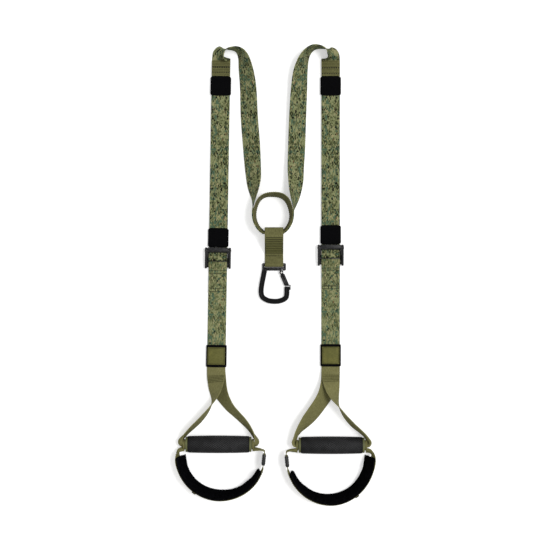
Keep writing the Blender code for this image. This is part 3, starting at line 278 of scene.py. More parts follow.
BACK_LEG_SHARES = {
    "left": [(-0.93, 0.115, -0.12, 0.72), (-0.81, 0.21, -0.2, 0.92), (-0.66, 0.3, -0.26, 1.0),
             (-0.48, 0.39, -0.3, 1.0), (-0.3, 0.48, -0.36, 1.0), (-0.15, 0.59, -0.46, 1.0),
             (-0.04, 0.7, -0.64, 1.0), (0.03, 0.81, -0.84, 1.0), (0.062, 0.91, -0.97, 1.0)],
    "right": [(-0.93, 0.115, -0.16, 0.72), (-0.8, 0.22, -0.32, 0.92), (-0.64, 0.32, -0.46, 1.0),
              (-0.47, 0.42, -0.54, 1.0), (-0.32, 0.52, -0.56, 1.0), (-0.19, 0.62, -0.62, 1.0),
              (-0.1, 0.72, -0.72, 1.0), (-0.042, 0.82, -0.86, 1.0), (-0.024, 0.91, -0.97, 1.0)],
}
LABEL_SHARES = (0.5, 0.8, 1.03, 1.12)
OVERLAP_SHARE = 0.6
LEAN_SHARES = {"left": (0.24, 0.25, 0.03), "right": (0.26, 0.26, 0.03)}


def linear(hex_colour):
    """An sRGB hex colour as the linear red, green and blue that shaders take."""
    parts = [int(hex_colour[k:k + 2], 16) / 255 for k in (1, 3, 5)]
    return tuple(part / 12.92 if part <= 0.04045 else ((part + 0.055) / 1.055) ** 2.4 for part in parts)


def colour_property(name, description, hex_colour):
    return FloatVectorProperty(name=name, description=description, subtype="COLOR", size=3, min=0, max=1,
                               default=linear(hex_colour))


def length_property(name, description, size):
    return FloatProperty(name=name, description=description, unit="LENGTH", min=0, default=size)


class TrainerWebbing(bpy.types.PropertyGroup):
    """Weave and colours of the webbing."""
    cord: length_property("Weave cord", "Spacing of the cords across the webbing", 1.9 * MM)
    pick: length_property("Weave pick", "Spacing of the weft picks along the webbing", 2.2 * MM)
    olive: colour_property("Olive", "Ground of the plain webbing", "#63623d")
    olive_light: colour_property("Light olive", "Lit yarns of the plain webbing", "#7d7b50")
    handle: colour_property("Handle olive", "Ground of the handle and foot straps", "#757248")
    handle_light: colour_property("Light handle olive", "Lit yarns of those straps", "#8a875b")
    print_ground: colour_property("Print ground", "Most of the patterned webbing", "#70754f")
    print_pale: colour_property("Print pale", "Pale blotches of the patterned webbing", "#8f9369")
    print_deep: colour_property("Print deep", "Deep blotches of the patterned webbing", "#474d2f")


class TrainerStitching(bpy.types.PropertyGroup):
    """Thread of every seam."""
    thread: length_property("Thread", "Thickness of the thread, drawn coarser so that it shows", 1.7 * MM)
    pitch: length_property("Pitch", "From one stitch to the next", 4.2 * MM)
    stitch: length_property("Stitch", "Length of one stitch that shows", 3.5 * MM)
    black: colour_property("Thread colour", "Bonded thread on the patterned webbing", "#10100e")


class TrainerMetal(bpy.types.PropertyGroup):
    """Coated metal of the buckles and the carabiner."""
    rounding: length_property("Edge rounding", "Radius that the coating leaves on an edge", 0.55 * MM)
    groove: length_property("Groove", "Width of the forged groove along the carabiner's stock", 4 * MM)
    coating: colour_property("Coating", "Black coating of the metal", "#0a0a0b")
    # Grey of the edges: partly wear, partly painted highlight
    worn_and_glint: colour_property("Worn edge", "Coating rubbed thin on the edges", "#565656")


class TrainerGrip(bpy.types.PropertyGroup):
    """Raised lattice on the rubber grips."""
    starts: IntProperty(name="Starts", description="Lattice lines each way", min=6, default=26)
    turns: FloatProperty(name="Turns", description="Turns of a line end to end", min=0.1, default=0.82)
    line: length_property("Line", "Radius of a lattice line", 0.42 * MM)
    rubber: colour_property("Rubber", "Colour of the rubber", "#0a0a0b")


class TrainerPad(bpy.types.PropertyGroup):
    """Lining of the foot cradles."""
    voxel: length_property("Voxel", "Mesh size of the cloth", 3 * MM)
    pressure: FloatProperty(name="Pressure", description="Pressure that swells the pad", min=0, default=4)
    swell: length_property("Swell", "Furthest that a point of the pad may move", 2.2 * MM)
    pile: length_property("Pile", "Length of a tuft", 1.7 * MM)
    tufts: IntProperty(name="Tufts", description="Tufts to a square centimetre", min=1, default=62)
    fleece: colour_property("Fleece", "Colour of the pile", "#101013")


class TrainerStage(bpy.types.PropertyGroup):
    """Camera, floor and light."""
    height: length_property("Camera height", "Height of the camera over the floor", 3.0)
    across: length_property("View width", "Width of floor that the picture shows", 1.133)
    sky: FloatProperty(name="Sky", description="Strength of the light from all round", min=0, default=0.62)
    lamp: FloatProperty(name="Lamp", description="Strength of the lamp from the right", min=0, default=1.5)


# Materials

def node(tree, kind, sockets=None, **settings):
    """Add a node with its settings; sockets holds values and links for its inputs."""
    made = tree.nodes.new(kind)
    for key, value in settings.items():
        setattr(made, key, value)
    for key, value in (sockets or {}).items():
        if isinstance(value, bpy.types.NodeSocket):
            tree.links.new(value, made.inputs[key])
        else:
            made.inputs[key].default_value = value
    return made


def maths(tree, operation, *values):
    return node(tree, "ShaderNodeMath", dict(enumerate(values)), operation=operation).outputs[0]


def rgba(colour):
    """A link as it is, or a hex or linear colour with its alpha."""
    if isinstance(colour, bpy.types.NodeSocket):
        return colour
    return (*(linear(colour) if isinstance(colour, str) else colour), 1)


def blended(tree, share, one, two):
    """Colour between one and two by share."""
    return node(tree, "ShaderNodeMix", {0: share, 6: rgba(one), 7: rgba(two)}, data_type="RGBA").outputs[2]


def steps(tree, value, *stops):
    """Grey ramp between two (place, grey) stops."""
    ramp = node(tree, "ShaderNodeValToRGB", {0: value})
    for element, (place, grey) in zip(ramp.color_ramp.elements, stops):
        element.position = place
        element.color = (grey, grey, grey, 1)
    return ramp.outputs[0]


def noise_at(tree, place, scale, detail=2):
    """Value of a fractal noise."""
    return node(tree, "ShaderNodeTexNoise", {"Vector": place, "Scale": scale, "Detail": detail}).outputs[0]


def material(name, roughness, colour=(0, 0, 0), **sockets):
    """A new material with a Principled BSDF; constants go straight on its sockets."""
    made = bpy.data.materials.new(name)
    made.use_nodes = True
    shader = made.node_tree.nodes["Principled BSDF"]
    shader.inputs["Base Color"].default_value = rgba(colour)
    shader.inputs["Roughness"].default_value = roughness
    for key, value in sockets.items():
        shader.inputs[key.replace("_", " ")].default_value = value
    return made, made.node_tree, shader


def bumped(tree, shader, height, depth):
    bump = node(tree, "ShaderNodeBump", {"Height": height, "Distance": depth})
    tree.links.new(bump.outputs[0], shader.inputs["Normal"])


def feed(tree, shader, socket, value):
    tree.links.new(value, shader.inputs[socket])


def own_place(tree):
    """The surface's own place in metres, from its object coordinates."""
    return node(tree, "ShaderNodeTexCoord").outputs["Object"]


def strap_place(tree):
    """(across, along) of the webbing in metres, from its own UV map."""
    return node(tree, "ShaderNodeUVMap", uv_map="UVMap").outputs[0]


def stretched(tree, place, *scale):
    """The place with its axes scaled, which draws a noise out along the least scaled one."""
    return node(tree, "ShaderNodeMapping", {0: place, "Scale": scale}).outputs[0]


def weave_height(tree, place, webbing):
    """Plain weave, drawn about twice as coarse as the real threads, so that it shows at a metre."""
    split = node(tree, "ShaderNodeSeparateXYZ", {0: place})
    across = maths(tree, "SINE", maths(tree, "MULTIPLY", split.outputs[0], math.tau / webbing.cord))
    along = maths(tree, "SINE", maths(tree, "MULTIPLY", split.outputs[1], math.tau / webbing.pick))
    ribs = maths(tree, "MULTIPLY", along, 0.5)
    woven = maths(tree, "ADD", maths(tree, "MULTIPLY", across, along), ribs)
    return maths(tree, "MULTIPLY_ADD", woven, 0.33, 0.5)


def plain_webbing(context, name, ground, light):
    """Woven nylon webbing: matt, ribbed across, with pale lit yarns and darker runs between them."""
    made, tree, shader = material(name, 0.85, Specular_IOR_Level=0.12)
    webbing = context.scene.trainer_webbing
    ground, light = getattr(webbing, ground), getattr(webbing, light)
    dark = [part * 0.55 for part in ground]
    place = strap_place(tree)
    height = weave_height(tree, place, webbing)
    yarn = noise_at(tree, stretched(tree, place, 1, 0.3, 1), 600, 3)
    fade = noise_at(tree, own_place(tree), 22)
    base = blended(tree, steps(tree, yarn, (0.38, 0), (0.66, 1)), ground, light)
    # Painted shade: the weave's low places are darkened
    base = blended(tree, steps(tree, height, (0.1, 0.75), (0.55, 0)), base, dark)
    base = blended(tree, steps(tree, fade, (0.35, 0.3), (0.6, 0)), base, dark)
    feed(tree, shader, "Base Color", base)
    bumped(tree, shader, height, 0.5 * MM)
    return made


def chance_of(tree, place, shift, size, fine, lumps):
    """One value a cell of the pattern: its own chance and, by a share of lumps, that of its patch."""
    cells = node(tree, "ShaderNodeVectorMath", {0: place, 1: (*size, 1)}, operation="SNAP").outputs[0]
    moved = node(tree, "ShaderNodeMapping", {0: cells, "Location": (shift, shift, 0), "Scale": (1, 0.6, 1)})
    chance = node(tree, "ShaderNodeTexWhiteNoise", {"Vector": moved.outputs[0]}).outputs[0]
    patch = noise_at(tree, moved.outputs[0], fine, 1)
    own = maths(tree, "MULTIPLY", chance, 1 - lumps)
    return maths(tree, "ADD", own, maths(tree, "MULTIPLY", patch, lumps))


def jacquard(context, name, rarer):
    """Patterned nylon webbing: woven blotches and flecks in olive, sand, black and grey green, on square
    cells. The dark flecks show from a value that is raised by rarer."""
    webbing = context.scene.trainer_webbing
    made, tree, shader = material(name, 0.85, Specular_IOR_Level=0.1)
    place = strap_place(tree)
    height = weave_height(tree, place, webbing)
    tone = chance_of(tree, place, 1.3, (1.7 * MM, 2.9 * MM), 70, 0.6)
    pale = steps(tree, tone, (0.5, 0), (0.62, 1))
    base = blended(tree, pale, webbing.print_ground, webbing.print_pale)
    deep = steps(tree, tone, (0.36 - rarer, 1), (0.44 - rarer, 0))
    base = blended(tree, deep, base, webbing.print_deep)
    # Each row: where its cells are read, their size, the patches' fineness and share, first value, colour
    for shift, size, fine, lumps, start, tint in (
            (3.1, (2.4 * MM, 3.8 * MM), 62, 0.7, 0.6, "#50664f"),
            (7.7, (1.6 * MM, 3.2 * MM), 110, 0.5, 0.725, "#a39c73"),
            (19.9, (1.8 * MM, 3.6 * MM), 60, 0.5, 0.8, "#6f4a34"),
            (11.3, (1.7 * MM, 3.6 * MM), 130, 0.5, 0.695 + rarer, "#14170f"),
            (15.7, (1.4 * MM, 2.5 * MM), 130, 0.5, 0.74 + rarer, "#1d2216")):
        value = chance_of(tree, place, shift, size, fine, lumps)
        base = blended(tree, steps(tree, value, (start, 0), (start + 0.01, 1)), base, tint)
    # Painted shade: the weave's low places are darkened
    base = blended(tree, steps(tree, height, (0.1, 0.45), (0.55, 0)), base, "#1f2114")
    feed(tree, shader, "Base Color", base)
    bumped(tree, shader, height, 0.5 * MM)
    return made


def knitted_elastic(context, name):
    """Knitted elastic: dead matt black with fine ribs, a little lint."""
    made, tree, shader = material(name, 0.95, Specular_IOR_Level=0.03)
    split = node(tree, "ShaderNodeSeparateXYZ", {0: strap_place(tree)})
    ribs = maths(tree, "SINE", maths(tree, "MULTIPLY", split.outputs[0], math.tau / ELASTIC_RIB))
    lint = steps(tree, noise_at(tree, own_place(tree), 900, 3), (0.5, 0), (0.72, 1))
    feed(tree, shader, "Base Color", blended(tree, lint, "#080809", "#101012"))
    bumped(tree, shader, ribs, 0.18 * MM)
    return made


def coated(context, name, roughness, metallic, grain):
    """Black finish on metal: satin skin, orange peel, edges rubbed to grey where straps run."""
    metal = context.scene.trainer_metal
    made, tree, shader = material(name, roughness, Metallic=metallic, Specular_IOR_Level=0.3)
    place = own_place(tree)
    edge = node(tree, "ShaderNodeNewGeometry").outputs["Pointiness"]
    patch_noise = noise_at(tree, place, 260, 3)
    wear_and_glint_patches = steps(tree, patch_noise, (0.42, 0), (0.62, 1))
    # Grey on sharp edges: partly wear, partly painted highlight where edges catch the light
    worn_and_glint = maths(tree, "MULTIPLY", steps(tree, edge, (0.53, 0), (0.6, 1)), wear_and_glint_patches)
    scuff = steps(tree, noise_at(tree, place, 90, 4), (0.5, 0), (0.75, 0.35))
    base = blended(tree, scuff, metal.coating, "#171718")
    feed(tree, shader, "Base Color", blended(tree, worn_and_glint, base, metal.worn_and_glint))
    feed(tree, shader, "Roughness", maths(tree, "MULTIPLY_ADD", patch_noise, 0.2, roughness - 0.1))
    bumped(tree, shader, noise_at(tree, place, grain), 0.05 * MM)
    return made


def stainless_steel(context, name):
    """Turned stainless steel: bright, with faint turning lines."""
    made, tree, shader = material(name, 0.24, "#b4b4b0", Metallic=1.0)
    bumped(tree, shader, noise_at(tree, stretched(tree, own_place(tree), 1, 1, 9), 900), 0.02 * MM)
    return made


def rubber(context, name, roughness, specular, colour, bloom_and_highlight):
    """Moulded rubber: soft black with a greyish bloom on what is touched."""
    made, tree, shader = material(name, roughness, Specular_IOR_Level=specular)
    place = own_place(tree)
    touched = steps(tree, noise_at(tree, place, 70, 4), (0.4, 0), (0.7, 1))
    base = blended(tree, touched, colour or context.scene.trainer_grip.rubber, bloom_and_highlight)
    feed(tree, shader, "Base Color", base)
    bumped(tree, shader, noise_at(tree, place, 1800), 0.06 * MM)
    return made


def moulded(context, name, colour, roughness):
    """Injection-moulded nylon: even colour with the fine grain of a spark-eroded mould."""
    made, tree, shader = material(name, roughness, Specular_IOR_Level=0.3)
    place = own_place(tree)
    fade = steps(tree, noise_at(tree, place, 60), (0.4, 0), (0.7, 0.6))
    lighter = [part * 1.6 for part in linear(colour)]
    feed(tree, shader, "Base Color", blended(tree, fade, colour, lighter))
    bumped(tree, shader, noise_at(tree, place, 1500), 0.05 * MM)
    return made


def fleece_pile(context, name):
    """Fleece: deep black pile that takes no highlight, clumped by wear."""
    made, tree, shader = material(name, 1.0, Specular_IOR_Level=0.0)
    place = own_place(tree)
    clump = steps(tree, noise_at(tree, place, 240, 4), (0.35, 0), (0.7, 1))
    feed(tree, shader, "Base Color", blended(tree, clump, "#060607", context.scene.trainer_pad.fleece))
    bumped(tree, shader, noise_at(tree, place, 700, 4), 0.8 * MM)
    return made


def thread(context, name, colour):
    """Bonded polyester thread: tight twist, slight shine."""
    made, tree, shader = material(name, 0.6, Specular_IOR_Level=0.15)
    twist = noise_at(tree, own_place(tree), 1600)
    ground = linear(colour) if colour else context.scene.trainer_stitching.black
    lighter = [part * 1.8 for part in ground]
    feed(tree, shader, "Base Color", blended(tree, steps(tree, twist, (0.35, 0), (0.7, 1)), ground, lighter))
    bumped(tree, shader, twist, 0.15 * MM)
    return made


def label_satin(context, name):
    """Damask label: smooth plain satin with hairline weft."""
    made, tree, shader = material(name, 0.6, Specular_IOR_Level=0.15)
    place = own_place(tree)
    hair = noise_at(tree, stretched(tree, place, 0.15, 1, 1), 1400)
    cloud = noise_at(tree, place, 60, 3)
    base = blended(tree, steps(tree, hair, (0.35, 0), (0.65, 1)), "#5a582a", "#6e6c38")
    base = blended(tree, steps(tree, cloud, (0.42, 0.35), (0.6, 0)), base, "#45461f")
    feed(tree, shader, "Base Color", base)
    bumped(tree, shader, hair, 0.1 * MM)
    return made


# Each finish: its slot, the function that makes it and that function's own values
FINISHES = {
    "olive_nylon_webbing": ("olive_webbing", plain_webbing, "olive", "olive_light"),
    # Handle and foot straps: the same nylon, paler from sun and hands
    "handle_nylon_webbing": ("olive_webbing", plain_webbing, "handle", "handle_light"),
    "jacquard_webbing": ("patterned_webbing", jacquard, 0.0),
    # Its reverse face, where the dark yarns float less
    "jacquard_reverse": ("patterned_webbing", jacquard, 0.055),
    "knitted_elastic": ("black_elastic", knitted_elastic),
    # Powder coat on steel: fine orange peel and soft broad highlights
    "powder_coated_steel": ("black_coated_metal", coated, 0.42, 0.3, 1400),
    # Anodised aluminium: smooth satin black, sharper highlights than the coat
    "anodised_aluminium": ("black_gate_metal", coated, 0.34, 0.75, 2600),
    "stainless_steel": ("bright_steel", stainless_steel),
    "moulded_rubber": ("black_rubber", rubber, 0.55, 0.15, None, "#151516"),
    # The lattice's raised lines, in paler rubber as painted highlight on them
    "lattice_highlight_rubber": ("black_rubber", rubber, 0.5, 0.3, "#161617", "#29292b"),
    "moulded_nylon": ("dark_plastic", moulded, "#0c0c0d", 0.32),
    "olive_moulded_nylon": ("olive_plastic", moulded, "#5d5f3c", 0.55),
    "fleece_pile": ("black_pile", fleece_pile),
    "bonded_thread": ("black_elastic", thread, None),
    "olive_thread": ("olive_webbing", thread, "#37371d"),
    # Thread of the bar tacks, in the webbing's own olive
    "tack_thread": ("olive_webbing", thread, "#55542f"),
    "label_satin": ("olive_webbing", label_satin),
}
MATERIALS = {}


def stuff(context, name):
    """The named material, made the first time that a piece asks for it."""
    if name not in MATERIALS:
        _, make, *values = FINISHES[name]
        MATERIALS[name] = make(context, name, *values)
    return MATERIALS[name]


# Pieces and shells

def finished(context, name, work, stuff_name, body, nodes=(), at=None, blend=None):
    """Make work a piece in place, with its material, riding on its body for the nodes that it stands for."""
    if at is not None:
        work.transform(at)
    bmesh.ops.recalc_face_normals(work, faces=work.faces)
    mesh = bpy.data.meshes.new(name)
    work.to_mesh(mesh)
    work.free()
    return placed(context, name, mesh, stuff_name, body, nodes, blend)


def placed(context, name, mesh, stuff_name, body, nodes=(), blend=None):
    """Put a finished mesh into the scene as a piece."""
    mesh.materials.clear()
    mesh.materials.append(stuff(context, stuff_name))
    mesh.shade_smooth()
    mesh.set_sharp_from_angle(angle=SMOOTH_UNDER)
    made = bpy.data.objects.new(name, mesh)
    context.scene.collection.objects.link(made)
    if blend is not None:
        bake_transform(made)
    else:
        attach(made, body)
    if nodes:
        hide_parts(*nodes)
    return made


def sweep(work, rows, section, closed=False, fold=0.0):
    """Skin a section of (across, out) points along rows of (centre, across, out, scale); UVs in metres.

    With a fold, a row's scale gathers the webbing's width alone, and its surplus bellies out into a gutter.
    """
    half = max(u for u, _ in section)

    def spot(row, u, n):
        centre, across, out, scale = row
        if not fold:
            return centre + across * (u * scale) + out * (n * scale)
        share = u / half
        belly = fold * (1 - scale) * (0.5 - share * share + 0.14 * math.cos(share * FLAT * 5))
        return centre + across * (u * scale) + out * (n + belly)

    uv = work.loops.layers.uv.get("UVMap") or work.loops.layers.uv.new("UVMap")
    rings, travelled = [], 0.0
    for k, (centre, *_) in enumerate(rows):
        if k:
            travelled += (centre - rows[k - 1][0]).length
        rings.append(([work.verts.new(spot(rows[k], u, n)) for u, n in section], travelled))
    if closed:
        rings.append((rings[0][0], travelled + (rows[0][0] - rows[-1][0]).length))
    count = len(section)
    for (one, start), (two, end) in zip(rings, rings[1:]):
        for k in range(count):
            after = (k + 1) % count
            face = work.faces.new((one[k], one[after], two[after], two[k]))
            places = ((k, start), (after, start), (after, end), (k, end))
            for loop, (corner, along) in zip(face.loops, places):
                loop[uv].uv = (section[corner][0], along)
    if not closed:
        for ring, along in (rings[0], rings[-1]):
            cap = work.faces.new(ring)
            for loop, (u, n) in zip(cap.loops, section):
                loop[uv].uv = (u, along + n)


def webbing_section(width, thickness, flats=FLATS):
    """Outline of flat webbing with rounded selvedges."""
    edge = thickness / 2
    side = width / 2 - edge
    points = [(-side + 2 * side * k / flats, edge) for k in range(flats + 1)]
    points += [(side + edge * math.sin(turn), edge * math.cos(turn))
               for turn in (math.pi * k / (SELVEDGE_FACES + 1) for k in range(1, SELVEDGE_FACES + 1))]
    return points + [(-u, -n) for u, n in points]


def tilted_rows(points, closed=False):
    """Rows along (x, y, z, tilt, scale) points: on edge at tilt 0, flat at a right angle."""
    places = [Vector(point[:3]) for point in points]
    last = len(places) - 1
    rows = []
    for k, (*_, tilt, scale) in enumerate(points):
        before = places[k - 1] if k or closed else places[k]
        after = places[(k + 1) % len(places)] if k < last or closed else places[k]
        along = (after - before).normalized()
        level = along.cross(Vector((0, 0, 1))).normalized()
        up = level.cross(along)
        across = up * math.cos(tilt) + level * math.sin(tilt)
        rows.append((places[k], across, along.cross(across), scale))
    return rows


def band_rows(path, closed=False):
    """Rows along a path of (along the arm, up) points, for webbing that lies across the arm."""
    rows = tilted_rows([(along, up, 0, 0, 1) for along, up in path], closed)
    turn = UPRIGHT.to_3x3()
    return [(turn @ centre, turn @ across, turn @ out, scale) for centre, across, out, scale in rows]


def filled(path, step=ROW_STEP):
    """The path with points added where two lie further apart than step."""
    out = [path[0]]
    for one, two in zip(path, path[1:]):
        length = math.dist(one, two)
        count = max(1, math.ceil(length / step))
        out += [tuple(a + (b - a) * k / count for a, b in zip(one, two)) for k in range(1, count + 1)]
    return out


def arc(centre, radius, start, end, count):
    """Points on an arc, from one angle to another."""
    return [(centre[0] + radius * math.cos(start + (end - start) * k / (count - 1)),
             centre[1] + radius * math.sin(start + (end - start) * k / (count - 1))) for k in range(count)]


def between(one, two, start, end, t):
    """The row at t on the line from one, at start, to two, at end."""
    return (one * (end - t) + two * (t - start)) / (end - start)


def smooth(stations, least_steps=SMOOTH_STEPS):
    """Points on one smooth curve through (x, y, z, tilt, scale) stations, close together or far apart."""
    rows = [Vector(row) for row in stations]
    rows = [rows[0] * 2 - rows[1]] + rows + [rows[-1] * 2 - rows[-2]]
    out = []
    for near in zip(rows, rows[1:], rows[2:], rows[3:]):
        knots = [0.0]
        for one, two in zip(near, near[1:]):
            knots.append(knots[-1] + math.sqrt((two.xy - one.xy).length))
        count = max(least_steps, math.ceil(abs(near[2][3] - near[1][3]) / TWIST_STEP))
        for step in range(count):
            t = knots[1] + (knots[2] - knots[1]) * step / count
            first = [between(near[k], near[k + 1], knots[k], knots[k + 1], t) for k in range(3)]
            second = [between(first[k], first[k + 1], knots[k], knots[k + 2], t) for k in range(2)]
            out.append(tuple(between(*second, knots[1], knots[2], t)))
    return out + [tuple(stations[-1])]


def edge_height(tilt, width=WEB_WIDTH, thickness=WEB_THICKNESS):
    """Height of a ribbon's centre over the surface that its lower edge touches."""
    return abs(math.cos(tilt)) * width / 2 + abs(math.sin(tilt)) * thickness / 2


def on_strip(rows, along, across, out):
    """A point on the webbing: along it, across from its middle and out of its middle layer."""
    travelled = 0.0
    for one, two in zip(rows, rows[1:]):
        step = (two[0] - one[0]).length
        if travelled + step >= along or two is rows[-1]:
            share = min(1.0, max(0.0, (along - travelled) / step))
            centre = one[0].lerp(two[0], share)
            return (centre + one[1].lerp(two[1], share).normalized() * across
                    + one[2].lerp(two[2], share).normalized() * out)
        travelled += step
    return rows[-1][0]


def running(rows):
    """How far along the webbing each row lies."""
    out = [0.0]
    for one, two in zip(rows, rows[1:]):
        out.append(out[-1] + (two[0] - one[0]).length)
    return out


def shell(work, made, at=None):
    """Add a finished shell to work."""
    if at is not None:
        made.transform(at)
    mesh = bpy.data.meshes.new("shell")
    made.to_mesh(mesh)
    made.free()
    work.from_mesh(mesh)
    bpy.data.meshes.remove(mesh)


def box_shell(work, low, high, rounding, at=None):
    """A block with rounded edges."""
    low, high = Vector(low), Vector(high)
    made = bmesh.new()
    bmesh.ops.create_cube(made, size=1)
    bmesh.ops.scale(made, verts=made.verts, vec=high - low)
    bmesh.ops.translate(made, verts=made.verts, vec=(low + high) / 2)
    bmesh.ops.bevel(made, geom=made.edges[:], offset=rounding, segments=3, profile=0.5, affect="EDGES")
    shell(work, made, at)


def turned_shell(work, profile, at=None, ring=False, turns=64):
    """(along X, radius) points turned about X; a ring's profile is closed, another's ends on the axis."""
    made = bmesh.new()
    rings = []
    for along, radius in profile:
        if radius == 0:
            rings.append([made.verts.new((along, 0, 0))] * turns)
        else:
            rings.append([made.verts.new((along, radius * math.cos(math.tau * k / turns),
                                          radius * math.sin(math.tau * k / turns))) for k in range(turns)])
    if ring:
        rings.append(rings[0])
    for one, two in zip(rings, rings[1:]):
        for k in range(turns):
            after = (k + 1) % turns
            corners = [one[k], one[after], two[after], two[k]]
            made.faces.new([corner for j, corner in enumerate(corners) if corner not in corners[:j]])
    shell(work, made, at)


def rod_shell(work, start, end, radius, rounding, at=None, turns=32):
    """A round bar with rounded ends between two points."""
    start, end = Vector(start), Vector(end)
    run = end - start
    length = run.length
    rim = [(rounding * (1 - math.sin(angle)), radius - rounding * (1 - math.cos(angle)))
           for angle in (FLAT, FLAT * 2 / 3, FLAT / 3, 0)]
    profile = [(0, 0)] + rim + [(length - x, r) for x, r in reversed(rim)] + [(length, 0)]
    turn = Vector((1, 0, 0)).rotation_difference(run).to_matrix().to_4x4()
    turned_shell(work, profile, (at or Matrix()) @ Matrix.Translation(start) @ turn, turns=turns)


def plate_shell(work, outline, thickness, rounding, at=None):
    """A flat plate with rounded rims, half its thickness to each side of its plane."""
    made = bmesh.new()
    face = made.faces.new([made.verts.new((x, y, -thickness / 2)) for x, y in outline])
    raised = bmesh.ops.extrude_face_region(made, geom=[face])["geom"]
    top = [part for part in raised if isinstance(part, bmesh.types.BMVert)]
    bmesh.ops.translate(made, vec=(0, 0, thickness), verts=top)
    bmesh.ops.recalc_face_normals(made, faces=made.faces)
    rims = [edge for edge in made.edges if any(len(side.verts) == len(outline) for side in edge.link_faces)]
    bmesh.ops.bevel(made, geom=rims, offset=rounding, segments=3, profile=0.5, affect="EDGES")
    shell(work, made, at)


def arm_matrix(arm):
    return Matrix.Translation((arm["x"], arm["y"], 0)) @ Matrix.Rotation(arm["tilt"], 4, "Z")


def arm_point(arm, out, up):
    """World X and Y of a point out from the arm's line and up from its buckle's top."""
    cos, sin = math.cos(arm["tilt"]), math.sin(arm["tilt"])
    x = out * arm["side"]
    return (arm["x"] + x * cos - up * sin, arm["y"] + x * sin + up * cos)


# Geometry Nodes: stitches, piping, lattice and pile

TREES = {}
SOCKETS = {float: "NodeSocketFloat", int: "NodeSocketInt"}


def new_tree(name, inputs):
    """An empty geometry tree with named inputs, and its group input and output nodes."""
    tree = bpy.data.node_groups.new(name, "GeometryNodeTree")
    tree.interface.new_socket(name="Geometry", in_out="INPUT", socket_type="NodeSocketGeometry")
    for label, default in inputs.items():
        made = tree.interface.new_socket(name=label, in_out="INPUT", socket_type=SOCKETS[type(default)])
        made.default_value = default
    tree.interface.new_socket(name="Material", in_out="INPUT", socket_type="NodeSocketMaterial")
    tree.interface.new_socket(name="Geometry", in_out="OUTPUT", socket_type="NodeSocketGeometry")
    return tree, node(tree, "NodeGroupInput").outputs, node(tree, "NodeGroupOutput")


def close_tree(tree, geometry, given, end):
    """Real meshes with their material at the tree's end."""
    soft = node(tree, "GeometryNodeSetShadeSmooth", {"Geometry": geometry})
    real = node(tree, "GeometryNodeRealizeInstances", {"Geometry": soft.outputs[0]})
    dressed = node(tree, "GeometryNodeSetMaterial",
                   {"Geometry": real.outputs[0], "Material": given["Material"]})
    tree.links.new(dressed.outputs[0], end.inputs[0])
    return tree


def corded(tree, curves, radius, sides):
    """A round cord with closed ends along every curve."""
    rim = node(tree, "GeometryNodeCurvePrimitiveCircle", {"Resolution": sides, "Radius": radius})
    return node(tree, "GeometryNodeCurveToMesh",
                {"Curve": curves, "Profile Curve": rim.outputs[0], "Fill Caps": True}).outputs[0]


def stitch_tree():
    """A small pillow of thread on every pitch of the guide lines."""
    tree, given, end = new_tree("stitch_row", {"Pitch": 3 * MM, "Stitch": 2 * MM, "Thread": 1 * MM})
    guides = node(tree, "GeometryNodeMeshToCurve", {"Mesh": given["Geometry"]})
    spots = node(tree, "GeometryNodeResampleCurve", {"Curve": guides.outputs[0], "Length": given["Pitch"]},
                 mode="LENGTH")
    pillow = node(tree, "GeometryNodeMeshUVSphere", {"Segments": 6, "Rings": 5, "Radius": 0.5})
    size = node(tree, "ShaderNodeCombineXYZ", {0: given["Stitch"], 1: given["Thread"], 2: given["Thread"]})
    scaled = node(tree, "GeometryNodeTransform", {"Geometry": pillow.outputs[0], "Scale": size.outputs[0]})
    along = node(tree, "GeometryNodeInputTangent")
    turn = node(tree, "FunctionNodeAlignRotationToVector", {"Vector": along.outputs[0]}, axis="X")
    copies = node(tree, "GeometryNodeInstanceOnPoints",
                  {"Points": spots.outputs[0], "Instance": scaled.outputs[0], "Rotation": turn.outputs[0]})
    return close_tree(tree, copies.outputs[0], given, end)


def piping_tree():
    """A round cord along every guide line."""
    tree, given, end = new_tree("piping", {"Radius": 1 * MM})
    guides = node(tree, "GeometryNodeMeshToCurve", {"Mesh": given["Geometry"]})
    return close_tree(tree, corded(tree, guides.outputs[0], given["Radius"], 6), given, end)


